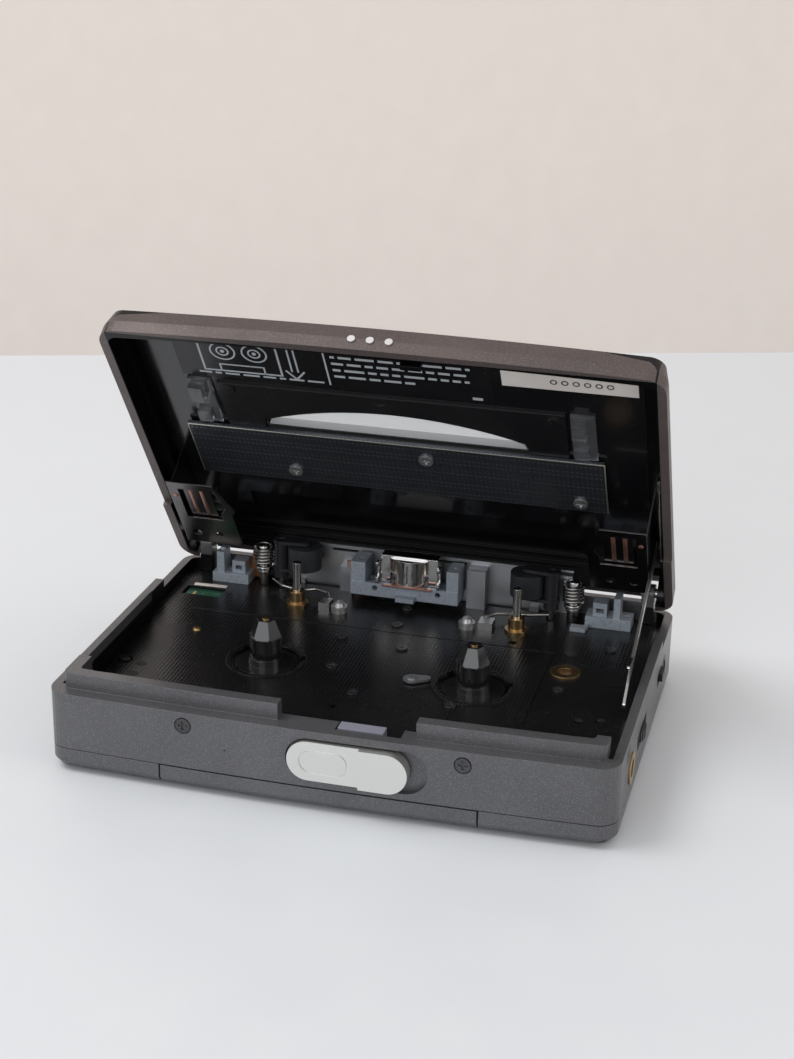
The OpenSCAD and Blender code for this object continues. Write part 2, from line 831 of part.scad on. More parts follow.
module stay_arm() {
  color([0.68, 0.69, 0.71])
    difference() {
      translate([50.6, 0, 0])
        rotate([90, 0, 90])
          linear_extrude(0.5)
            union() {
              hull() {
                translate([stay_y, stay_z])
                  circle(r = 1.3, $fn = 24);
                translate([stay_y - 14, stay_z - 5])
                  circle(r = 0.8, $fn = 24);
              }
              hull() {
                translate([stay_y - 14, stay_z - 5])
                  circle(r = 0.8, $fn = 24);
                translate([slide_y + 8, slide_z + 5.6])
                  circle(r = 0.8, $fn = 24);
              }
              hull() {
                translate([slide_y + 8, slide_z + 5.6])
                  circle(r = 0.8, $fn = 24);
                translate([slide_y, slide_z])
                  circle(r = 0.9, $fn = 24);
              }
              hull() {
                translate([slide_y + 8, slide_z + 5.6])
                  circle(r = 0.7, $fn = 24);
                translate([slide_y + 3, slide_z + 6.2])
                  circle(r = 0.5, $fn = 24);
              }
            }
      translate([50, stay_y, stay_z])
        rotate([0, 90, 0])
          cylinder(h = 2, r = 0.6);
    }
}

module latch_slider() {
  color([0.74, 0.74, 0.73]) {
    difference() {
      translate([0, -hy + 1.1, latch_z])
        rotate([90, 0, 0]) {
          linear_extrude(1.7)
            hull() {
              translate([-2.25, 0])
                circle(r = 3.95);
              translate([12.85, 0])
                circle(r = 3.95);
            }
          linear_extrude(2.6)
            intersection() {
              hull() {
                translate([-2.25, 0])
                  circle(r = 3.95);
                translate([12.85, 0])
                  circle(r = 3.95);
              }
              translate([7.6, -5])
                square([20, 10]);
            }
        }
      translate([0, -hy - 0.4, latch_z])
        rotate([90, 0, 0])
          linear_extrude(1)
            difference() {
              hull() {
                translate([-1.4, 0])
                  circle(r = 2.5);
                translate([3, 0])
                  circle(r = 2.5);
              }
              hull() {
                translate([-1.4, 0])
                  circle(r = 2.15);
                translate([3, 0])
                  circle(r = 2.15);
              }
            }
    }
    box(2.6, -hy + 1, latch_z - 1.6, 8, -hy + 2.6, latch_z + 1.6);
  }
}

module latch_tab() {
  color([0.75, 0.73, 0.82]) {
    box(2.6, -hy + 2.6, latch_z - 1.6, 8, -hy + 4, latch_z + 3);
    box(2.6, -hy + 2.6, latch_z + 2.9, 11.2, -hy + 5.2, face_z + 0.2);
  }
}

module latch_room() {
  // Recess for the slider, with its travel to the right
  translate([0, -hy + 1.45, latch_z])
    rotate([90, 0, 0])
      linear_extrude(4)
        hull() {
          translate([-2.3, 0])
            circle(r = 4.3);
          translate([12.9 + latch_travel, 0])
            circle(r = 4.3);
        }
  box(2.2, -hy + 0.5, latch_z - 2, 8.4 + latch_travel, -hy + 3, latch_z + 2);
  box(2.2, -hy + 2.2, latch_z - 2, 11.6 + latch_travel, -hy + 4.4, face_z + 5);
  box(2.2, -hy + 2.2, latch_z + 2.5, 11.6 + latch_travel, -hy + 6, face_z + 5);
}

module spindle(s) {
  translate([deck_cx + s * hub_pitch / 2, hub_y, 0])
    difference() {
      union() {
        rod(0, 0, 8.3, deck_z + 5.4, 3.1);
        rod(0, 0, 8.3, 10, 4);
        rod(0, 0, deck_z - 1, deck_z - 0.3, 6.3);
        rod(0, 0, deck_z - 0.4, deck_z + 1, 3.5);
        translate([0, 0, deck_z + 5.3])
          cylinder(h = 3.7, r1 = 3.35, r2 = 1.9, $fn = 6);
        for (a = [0:60:300])
          rotate([0, 0, a])
            translate([0, -0.3, deck_z + 2.4])
              cube([3.45, 0.6, 3.2]);
      }
      rod(0, 0, 5, deck_z + 12, 0.8);
    }
}

module spindle_left() {
  color([0.05, 0.05, 0.055])
    spindle(-1);
}

module spindle_right() {
  color([0.05, 0.05, 0.055])
    spindle(1);
}

module reel_gear(s, t) {
  translate([deck_cx + s * hub_pitch / 2, hub_y, 6.2])
    difference() {
      union() {
        gear(reel_r, 40, 1.8, 0.9);
        cylinder(h = 2.1, r = 5);
      }
      translate([0, 0, -1])
        cylinder(h = 6, r = 0.8);
      for (a = [0:72:288])
        rotate([0, 0, a])
          translate([6.9, 0, -1])
            cylinder(h = 6, r = 1.1, $fn = 24);
    }
}

module reel_gear_left() {
  color([0.85, 0.84, 0.8])
    reel_gear(-1, 0);
}

module reel_gear_right() {
  color([0.85, 0.84, 0.8])
    reel_gear(1, 0);
}

module capstan(s) {
  translate([deck_cx + s * capstan_pitch / 2, capstan_y, 0]) {
    rod(0, 0, 2.3, 21.2, capstan_r);
    difference() {
      rod(0, 0, fly_z, 6.4, fly_r);
      difference() {
        translate([0, 0, belt_z - 0.3])
          cylinder(h = 1.3, r = fly_r + 1);
        translate([0, 0, belt_z - 1])
          cylinder(h = 3, r = fly_r - 0.7);
      }
      translate([0, 0, 5.6])
        difference() {
          cylinder(h = 2, r = fly_r - 1.6);
          translate([0, 0, -1])
            cylinder(h = 4, r = 2.6);
        }
      for (a = [30])
        rotate([0, 0, a])
          translate([6, 0, -0.1 + fly_z])
            cylinder(h = 0.8, r = 1);
    }
  }
}

module capstan_left() {
  color([0.7, 0.7, 0.7])
    capstan(-1);
}

module capstan_right() {
  color([0.7, 0.7, 0.7])
    capstan(1);
}

module motor_pulley() {
  color([0.75, 0.57, 0.3])
    translate([motor_x, motor_y, 0]) {
      difference() {
        rod(0, 0, 2.2, 4.2, pulley_r);
        difference() {
          translate([0, 0, belt_z - 0.3])
            cylinder(h = 1.3, r = 4);
          translate([0, 0, belt_z - 1])
            cylinder(h = 3, r = pulley_r - 0.4);
        }
        translate([1.1, 0, 1.9])
          cylinder(h = 0.7, r = 0.3, $fn = 16);
      }
      rod(0, 0, 2, 5.8, 0.6);
    }
}

module idler_gear() {
  color([0.85, 0.84, 0.8])
    translate([idler_x, idler_y, 6.2])
      difference() {
        union() {
          gear(idler_r, 24, 1.8, 0.9);
          cylinder(h = 3, r = 2.2);
          cylinder(h = deck_bot - 6.2 - 0.3, r = 1);
        }
        for (a = [0:120:240])
          rotate([0, 0, a])
            translate([3.6, 0, -1])
              cylinder(h = 5, r = 0.8, $fn = 20);
      }
}

roller_xl = deck_cx - capstan_pitch / 2 - 0.6;
roller_xr = deck_cx + capstan_pitch / 2 + 0.6;
arm_l = 5.2;

module roller_arm(s, rx) {
  px = rx + s * arm_l;
  difference() {
    union() {
      // Pivot sleeve with two cheeks that hold the roller between them
      tube(px, roller_y, deck_z + 2.7, roller_z + roller_h + 0.8, 1.6, 0.95);
      for (z = [roller_z - 1, roller_z + roller_h + 0.3])
        translate([0, 0, z])
          linear_extrude(0.7)
            difference() {
              hull() {
                translate([px, roller_y])
                  circle(r = 1.85);
                translate([rx, roller_y])
                  circle(r = 1.3);
              }
              translate([px, roller_y])
                circle(r = 0.95);
            }
      rod(rx, roller_y, roller_z - 1, roller_z + roller_h + 0.9, 0.7);
    }
  }
}

module roller_arm_left() {
  color([0.25, 0.25, 0.26])
    roller_arm(-1, roller_xl);
}

module roller_arm_right() {
  color([0.25, 0.25, 0.26])
    roller_arm(1, roller_xr);
}

module pinch_roller_left() {
  color([0.08, 0.08, 0.085])
    tube(roller_xl, roller_y, roller_z, roller_z + roller_h, roller_r, 0.76);
}

module pinch_roller_right() {
  color([0.08, 0.08, 0.085])
    tube(roller_xr, roller_y, roller_z, roller_z + roller_h, roller_r, 0.76);
}

head_z = 15.2;
module head_frame() {
  color([0.45, 0.47, 0.5])
    difference() {
      union() {
        box(-13.8, 28.4, head_z - 1.6, 9.8, 29.6, head_z + 1.4);
        box(-13.8, 28.6, head_z - 1.6, -10.6, 34.4, head_z + 5.8);
        box(7.2, 28.6, head_z - 1.6, 9.8, 34.4, head_z + 5.8);
        box(-13.8, 33.2, head_z - 1.6, 9.8, 34.4, head_z + 0.6);
        box(-3.4, 26.6, head_z - 1.6, 0.6, 28.6, head_z - 0.6);
        box(-9.9, 29.4, head_z - 1.6, 7.1, 33.4, head_z - 0.9);
      }
      for (x = [-12.2, 8.5])
        translate([x, 31, head_z + 4.4])
          cylinder(h = 3, r = 0.6, $fn = 20);
      for (x = [-8.4, 5.4])
        translate([x, 31, head_z + 0.3])
          rotate([90, 0, 0])
            cylinder(h = 4, r = 0.6, $fn = 20);
    }
}

module tape_head() {
  color([0.82, 0.82, 0.84])
    translate([-1.2, 0, 0])
      difference() {
        union() {
          box(-6.2, 29.8, head_z - 0.8, 6.2, 32.9, head_z + 7.6);
          translate([0, 33.2, head_z + 1.6])
            intersection() {
              cylinder(h = 5.6, r = 5.4);
              translate([-5.2, -6, -1])
                cube([10.4, 4, 10]);
            }
        }
        box(-0.12, 27, head_z + 2, 0.12, 28.2, head_z + 6.4);
      }
}

module volume_wheel() {
  color([0.1, 0.1, 0.1])
    translate([wheel_x, wheel_y, 7.6])
      difference() {
        union() {
          gear(volume_r, 48, 2.2, 0.25);
          translate([0, 0, -1.3])
            cylinder(h = 1.5, r = 2.4);
        }
        translate([0, 0, 1.7])
          cylinder(h = 2, r = 4.6);
      }
}

module mode_switch() {
  color([0.12, 0.12, 0.12]) {
    difference() {
      box(hx - 1.4, 16.6, 7.85, hx + 0.7, 20.2, 9.65);
      for (i = [0:2])
        box(hx + 0.4, 17.3 + i, 7, hx + 1, 17.7 + i, 11);
    }
    box(hx - 3.4, 16, 7.4, hx - wall_t - 0.4, 21.2, 10.1);
    box(hx - wall_t - 0.5, 16.6, 7.85, hx - 1.2, 20.2, 9.65);
  }
}

module key_cap(y) {
  difference() {
    union() {
      box(-hx - 0.9, y - 3.6, key_z - 1.3, -hx + 1.4, y + 3.6, key_z + 1.3);
      box(-hx + wall_t + 0.35, y - 4.2, key_z - 0.4, -hx + 2.9, y + 4.2, key_z + 0.4);
      box(-hx + 1.3, y - 3, key_z - 0.4, -hx + 2.3, y + 3, key_z + 0.4);
    }
    box(-hx - 1.4, y - 2.4, key_z - 0.25, -hx - 0.65, y + 2.4, key_z + 0.25);
  }
}

module key_rewind() {
  color([0.3, 0.3, 0.31])
    key_cap(key_ys[0]);
}

module key_play() {
  color([0.3, 0.3, 0.31])
    key_cap(key_ys[1]);
}

module key_forward() {
  color([0.3, 0.3, 0.31])
    key_cap(key_ys[2]);
}

module key_stop() {
  color([0.3, 0.3, 0.31])
    key_cap(key_ys[3]);
}

module battery_door() {
  color([0.12, 0.118, 0.122])
    difference() {
      intersection() {
        difference() {
          hull() {
            slab(0, 0.1, 2);
            slab(0.5, 0.6, 0.8);
            slab(1.6, seam_z - 0.3, 0);
          }
          slab(floor_t, seam_z + 1, wall_t - 0.4);
        }
        union() {
          box(door_x0, -hy - 1, -1, door_x1, door_y1 - 1.4, seam_z + 1);
          for (x = [-26, 18])
            box(x, -20, -1, x + 6, door_y1 - 0.6, seam_z + 1);
        }
      }
      for (i = [0:4])
        box(-6, -30 + i * 1.6, -0.5, 4, -29.4 + i * 1.6, 0.25);
      // Hinge pin bore through each tab
      for (x = [-27, 17])
        translate([x, door_y1 - 1, 0.7])
          rotate([0, 90, 0])
            cylinder(h = 8, r = 0.3, $fn = 24);
    }
}

module tape_lever() {
  color([0.72, 0.72, 0.73])
    difference() {
      union() {
        translate([8.6, -5.3, deck_z + 0.3])
          linear_extrude(0.4)
            hull() {
              circle(r = 1.7);
              translate([2.6, 1])
                circle(r = 1);
            }
        rod(8.6, -5.3, deck_z + 0.3, deck_z + 1, 0.9);
      }
      translate([8.6, -5.3, deck_z + 0.8])
        cube([1.3, 0.3, 1], center = true);
    }
}

// ---------- all nodes ----------

main_case();
bottom_cover();
deck_plate();
guide_bracket_left();
guide_bracket_right();
capstan_bushings();
locating_pins();
reel_shafts();
deck_screws();
deck_eyelets();
case_screws();
main_pcb();
control_pcb();
motor();
battery_contacts();
headphone_jack();
dc_jack();
carriage_rail();
drive_belt();
hinge_pins();
pinch_coils();
wire_springs();
lid_shell();
lid_liner();
lid_window();
window_panel();
holder_plate();
holder_screws();
retainers();
info_label();
serial_label();
pocket_left();
pocket_right();
rim_studs();
lid_spring();
stay_arm();
latch_slider();
latch_tab();
spindle_left();
spindle_right();
reel_gear_left();
reel_gear_right();
capstan_left();
capstan_right();
motor_pulley();
idler_gear();
roller_arm_left();
roller_arm_right();
pinch_roller_left();
pinch_roller_right();
head_frame();
tape_head();
volume_wheel();
mode_switch();
key_rewind();
key_play();
key_forward();
key_stop();
battery_door();
tape_lever();
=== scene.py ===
import json
import logging
import math
from dataclasses import dataclass, field
from enum import Enum

import bmesh
import bpy
from mathutils import Matrix, Vector


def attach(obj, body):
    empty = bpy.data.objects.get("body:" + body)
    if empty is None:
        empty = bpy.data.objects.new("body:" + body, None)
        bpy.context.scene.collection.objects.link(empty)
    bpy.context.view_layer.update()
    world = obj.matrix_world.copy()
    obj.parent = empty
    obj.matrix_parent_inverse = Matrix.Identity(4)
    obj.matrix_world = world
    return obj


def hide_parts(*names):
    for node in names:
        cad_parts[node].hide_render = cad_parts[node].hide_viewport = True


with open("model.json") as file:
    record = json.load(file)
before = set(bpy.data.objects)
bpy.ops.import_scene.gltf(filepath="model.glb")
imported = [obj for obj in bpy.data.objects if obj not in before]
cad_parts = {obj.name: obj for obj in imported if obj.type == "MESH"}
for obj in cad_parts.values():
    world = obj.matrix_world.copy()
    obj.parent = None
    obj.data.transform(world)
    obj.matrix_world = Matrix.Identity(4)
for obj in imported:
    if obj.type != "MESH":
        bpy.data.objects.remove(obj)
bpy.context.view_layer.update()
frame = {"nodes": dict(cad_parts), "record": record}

LOG = logging.getLogger("cassette_player")
Shape = bmesh.types.BMesh
Socket = bpy.types.NodeSocket
Point = tuple[float, float, float]
Spot = tuple[float, float]
Span = tuple[float, float]
Bar = tuple[float, float, float, float]
Colour = tuple[float, float, float]

# Shapes are worked in millimetres and made in metres.
MM = 0.001
DECK_TOP = 11.7

# The lid is worked on as if shut, then turned open about the hinge line.
HINGE = Vector((0.0, 37.0, 18.2))
LID_ANGLE = math.radians(-55.0)
LID_OPEN = (
    Matrix.Translation(HINGE) @ Matrix.Rotation(LID_ANGLE, 4, "X") @ Matrix.Translation(-HINGE)
)


class Grain(Enum):
    """How a finish is textured."""

    SATIN = "satin"
    SPECKLE = "speckle"
    CAST = "cast"
    BRUSHED = "brushed"
    DOTS = "dot_relief_and_highlight"
    BOARD = "board"


@dataclass(frozen=True)
class Lining:
    """A second colour inside a shell: everything within a box around the middle takes it.

    Args:
        half: half width and half depth of the box, in metres.
        colour: colour of the lining.
        rough: roughness of the lining.
        open_lid: whether the box turns with the opened lid.
        top: height of the box's lid, in metres.
    """

    half: Spot
    colour: Colour
    rough: float
    open_lid: bool = False
    top: float = 1.0


@dataclass(frozen=True)
class Nodes:
    """The nodes of one material, and the steps that the finishes are made of.

    Args:
        tree: the node tree that they stand in.
    """

    tree: bpy.types.NodeTree

    # Where a Mix node takes and gives numbers and colours.
    MASK, NUMBER_BELOW, NUMBER_ABOVE, COLOUR_BELOW, COLOUR_ABOVE = 0, 2, 3, 6, 7
    NUMBER_OUT, COLOUR_OUT = 0, 2

    def make(
        self,
        kind: str,
        links: dict[str | int, Socket] | None = None,
        values: dict[str | int, object] | None = None,
        **choices: str,
    ) -> bpy.types.Node:
        """Makes one node.

        Args:
            kind: its type, without the words that all shader nodes start with.
            links: what its inputs are joined to.
            values: what its other inputs are set to.
            choices: its own settings, made before its inputs are joined.

        Returns:
            The node.
        """
        node = self.tree.nodes.new(f"ShaderNode{kind}")
        for name, choice in choices.items():
            setattr(node, name, choice)
        for socket, source in (links or {}).items():
            self.tree.links.new(source, node.inputs[socket])
        for socket, value in (values or {}).items():
            node.inputs[socket].default_value = value
        return node

    def noise(self, place: Socket, scale: float, detail: float) -> Socket:
        """Cloudy noise.

        Args:
            place: coordinates.
            scale: repeats to a metre.
            detail: octaves.

        Returns:
            The noise value.
        """
        return self.make("TexNoise", {"Vector": place}, {"Scale": scale, "Detail": detail}).outputs["Fac"]

    def cells(self, place: Socket, scale: float, wild: float) -> Socket:
        """Distance to the nearest of many points.

        Args:
            place: coordinates.
            scale: points to a metre.
            wild: 0 for a square grid, 1 for scattered points.

        Returns:
            The distance.
        """
        values = {"Scale": scale, "Randomness": wild}
        return self.make("TexVoronoi", {"Vector": place}, values).outputs["Distance"]

    def stretch(self, place: Socket, by: Point) -> Socket:
        """Coordinates scaled by a different amount each way.

        Args:
            place: coordinates.
            by: the three scales.

        Returns:
            The new coordinates.
        """
        return self.make("Mapping", {"Vector": place}, {"Scale": by}).outputs["Vector"]

    def spread(self, value: Socket, given: Span, wanted: Span) -> Socket:
        """One span of numbers spread over another.

        Args:
            value: the number.
            given: the span it is read on.
            wanted: the span it comes out on.

        Returns:
            The spread value.
        """
        spans = dict(zip(("From Min", "From Max", "To Min", "To Max"), (*given, *wanted)))
        return self.make("MapRange", {"Value": value}, spans).outputs["Result"]

    def mask(self, value: Socket, start: float, end: float) -> Socket:
        """A mask from 0 at start to 1 at end.

        Args:
            value: what is masked by.
            start: where the mask is 0.
            end: where the mask is 1.

        Returns:
            The mask.
        """
        return self.spread(value, (start, end), (0.0, 1.0))

    def mix(self, mask: Socket, first: Colour, second: Colour) -> Socket:
        """Two colours mixed by a mask.

        Args:
            mask: 0 for the first, 1 for the second.
            first: first colour.
            second: second colour.

        Returns:
            The mixed colour.
        """
        values = {self.COLOUR_BELOW: (*first, 1.0), self.COLOUR_ABOVE: (*second, 1.0)}
        return self.make("Mix", {self.MASK: mask}, values, data_type="RGBA").outputs[self.COLOUR_OUT]

    def over(self, under: Socket, mask: Socket, colour: Colour) -> Socket:
        """A colour laid over another where a mask is 1.

        Args:
            under: the colour below.
            mask: where the new one shows.
            colour: the new one.

        Returns:
            The result.
        """
        links = {self.MASK: mask, self.COLOUR_BELOW: under}
        values = {self.COLOUR_ABOVE: (*colour, 1.0)}
        return self.make("Mix", links, values, data_type="RGBA").outputs[self.COLOUR_OUT]

    def fade(self, under: Socket, mask: Socket, value: float) -> Socket:
        """A number laid over another where a mask is 1.

        Args:
            under: the number below.
            mask: where the new one holds.
            value: the new one.

        Returns:
            The result.
        """
        links = {self.MASK: mask, self.NUMBER_BELOW: under}
        values = {self.NUMBER_ABOVE: value}
        return self.make("Mix", links, values, data_type="FLOAT").outputs[self.NUMBER_OUT]

    def within(self, place: Socket, lining: Lining) -> Socket:
        """A mask that is 1 within the lining's box.

        Args:
            place: coordinates.
            lining: the lining.

        Returns:
            The mask.
        """
        if lining.open_lid:
            shut = LID_OPEN.inverted().to_translation() * MM
            back = {"Rotation": (-LID_ANGLE, 0.0, 0.0), "Location": shut}
            place = self.make("Mapping", {"Vector": place}, back).outputs["Vector"]
        split = self.make("SeparateXYZ", {"Vector": place})
        masks = []
        for side, limit in zip("XYZ", (*lining.half, lining.top)):
            size = self.make("Math", {0: split.outputs[side]}, operation="ABSOLUTE").outputs[0]
            masks.append(self.make("Math", {0: size}, {1: limit}, operation="LESS_THAN").outputs[0])
        inside = masks[0]
        for mask in masks[1:]:
            inside = self.make("Math", {0: inside, 1: mask}, operation="MULTIPLY").outputs[0]
        return inside


@dataclass(frozen=True)
class Finish:
    """One surface finish, made as a node material.

    Args:
        name: name of the material.
        colour: main colour.
        shade: the colour it drifts towards in patches.
        rough: smallest and largest roughness.
        metal: metallic amount.
        grain: the texture.
        size: how fine the texture is, in repeats to a metre.
        bump: strength of the relief.
        coat: clear coat amount.
        clear: how much light goes through.
        lining: a second colour inside a shell.
        edge: rounding of the edges as it catches the light, in metres.
        level: strength of the plain reflection.
    """

    name: str
    colour: Colour
    shade: Colour
    rough: Span = (0.35, 0.5)
    metal: float = 0.0
    grain: Grain = Grain.SATIN
    size: float = 900.0
    bump: float = 0.12
    coat: float = 0.0
    clear: float = 0.0
    lining: Lining | None = None
    edge: float = 0.00018
    level: float = 0.5

    # Repeats to a metre of the patches and the dust, depth of the relief in metres,
    # and how much light bends in clear plastic and in the skin of anything else.
    PATCHES = 55.0
    DUST = 2600.0
    RELIEF = 0.00012
    BEND_CLEAR, BEND_SKIN = 1.49, 1.5

    def material(self) -> bpy.types.Material:
        """Makes the material, or finds it if it was made before.

        Returns:
            The material.
        """
        made = bpy.data.materials.get(self.name)
        if made is not None:
            return made
        made = bpy.data.materials.new(self.name)
        made.use_nodes = True
        made.node_tree.nodes.clear()
        nodes = Nodes(made.node_tree)
        place = nodes.make("TexCoord").outputs["Object"]
        patch = nodes.noise(place, self.PATCHES, 4.0)
        colour = nodes.mix(nodes.mask(patch, 0.35, 0.7), self.colour, self.shade)
        rough = nodes.spread(patch, (0.3, 0.7), self.rough)
        colour, height = self._grained(nodes, place, colour)
        dust = nodes.mask(nodes.noise(place, self.DUST, 1.0), 0.73, 0.79)
        colour = nodes.over(colour, dust, self._tint(1.0, 0.05))
        if self.lining is not None:
            inside = nodes.within(place, self.lining)
            colour = nodes.over(colour, inside, self.lining.colour)
            rough = nodes.fade(rough, inside, self.lining.rough)
        self._skin(nodes, colour, rough, height)
        return made

    def _tint(self, times: float, plus: float = 0.0) -> Colour:
        """The main colour made lighter or darker.

        Args:
            times: what it is multiplied by.
            plus: what is added after that.

        Returns:
            The new colour.
        """
        return tuple(times * part + plus for part in self.colour)

    def _grained(self, nodes: Nodes, place: Socket, colour: Socket) -> tuple[Socket, Socket]:
        """Lays the grain over the plain colour.

        Args:
            nodes: the material's nodes.
            place: coordinates.
            colour: the plain colour.

        Returns:
            The grained colour, and the height of the relief.
        """
        fine = nodes.noise(place, self.size, 3.0)
        if self.grain is Grain.SPECKLE:
            spots = nodes.cells(place, self.size, 1.0)
            return nodes.over(colour, nodes.mask(spots, 0.3, 0.12), self._tint(2.1, 0.02)), spots
        if self.grain is Grain.CAST:
            pits = nodes.cells(place, self.size, 1.0)
            return nodes.over(colour, nodes.mask(fine, 0.52, 0.75), self._tint(0.55)), pits
        if self.grain is Grain.BRUSHED:
            lines = nodes.noise(nodes.stretch(place, (0.04, 1.0, 1.0)), self.size * 3, 2.0)
            return nodes.over(colour, nodes.mask(lines, 0.45, 0.8), self._tint(0.7)), lines
        if self.grain is Grain.DOTS:
            # The dots are relief, and their lighter colour is a painted highlight on the raised dots.
            dot_relief_and_highlight = nodes.mask(nodes.cells(place, self.size, 0.0), 0.45, 0.2)
            return nodes.over(colour, dot_relief_and_highlight, self._tint(1.7, 0.004)), dot_relief_and_highlight
        if self.grain is Grain.BOARD:
            track = nodes.cells(nodes.stretch(place, (1.0, 0.35, 1.0)), self.size, 0.6)
            return nodes.over(colour, nodes.mask(track, 0.32, 0.3), (0.5, 0.32, 0.14)), track
        return colour, fine

    def _skin(self, nodes: Nodes, colour: Socket, rough: Socket, height: Socket) -> None:
        """Makes the surface itself.

        Args:
            nodes: the material's nodes.
            colour: its colour.
            rough: its roughness.
            height: its relief.
        """
        relief = {"Height": height}
        if self.edge:
            soft = nodes.make("Bevel", None, {"Radius": self.edge})
            soft.samples = 4
            relief["Normal"] = soft.outputs["Normal"]
        bump = nodes.make("Bump", relief, {"Strength": self.bump, "Distance": self.RELIEF})
        links = {"Base Color": colour, "Roughness": rough, "Normal": bump.outputs["Normal"]}
        values = {
            "Metallic": self.metal,
            "Coat Weight": self.coat,
            "Coat Roughness": 0.08,
            "Specular IOR Level": self.level,
            "Transmission Weight": self.clear,
            "IOR": self.BEND_CLEAR if self.clear else self.BEND_SKIN,
        }
        skin = nodes.make("BsdfPrincipled", links, values)
        nodes.make("OutputMaterial", {"Surface": skin.outputs["BSDF"]})


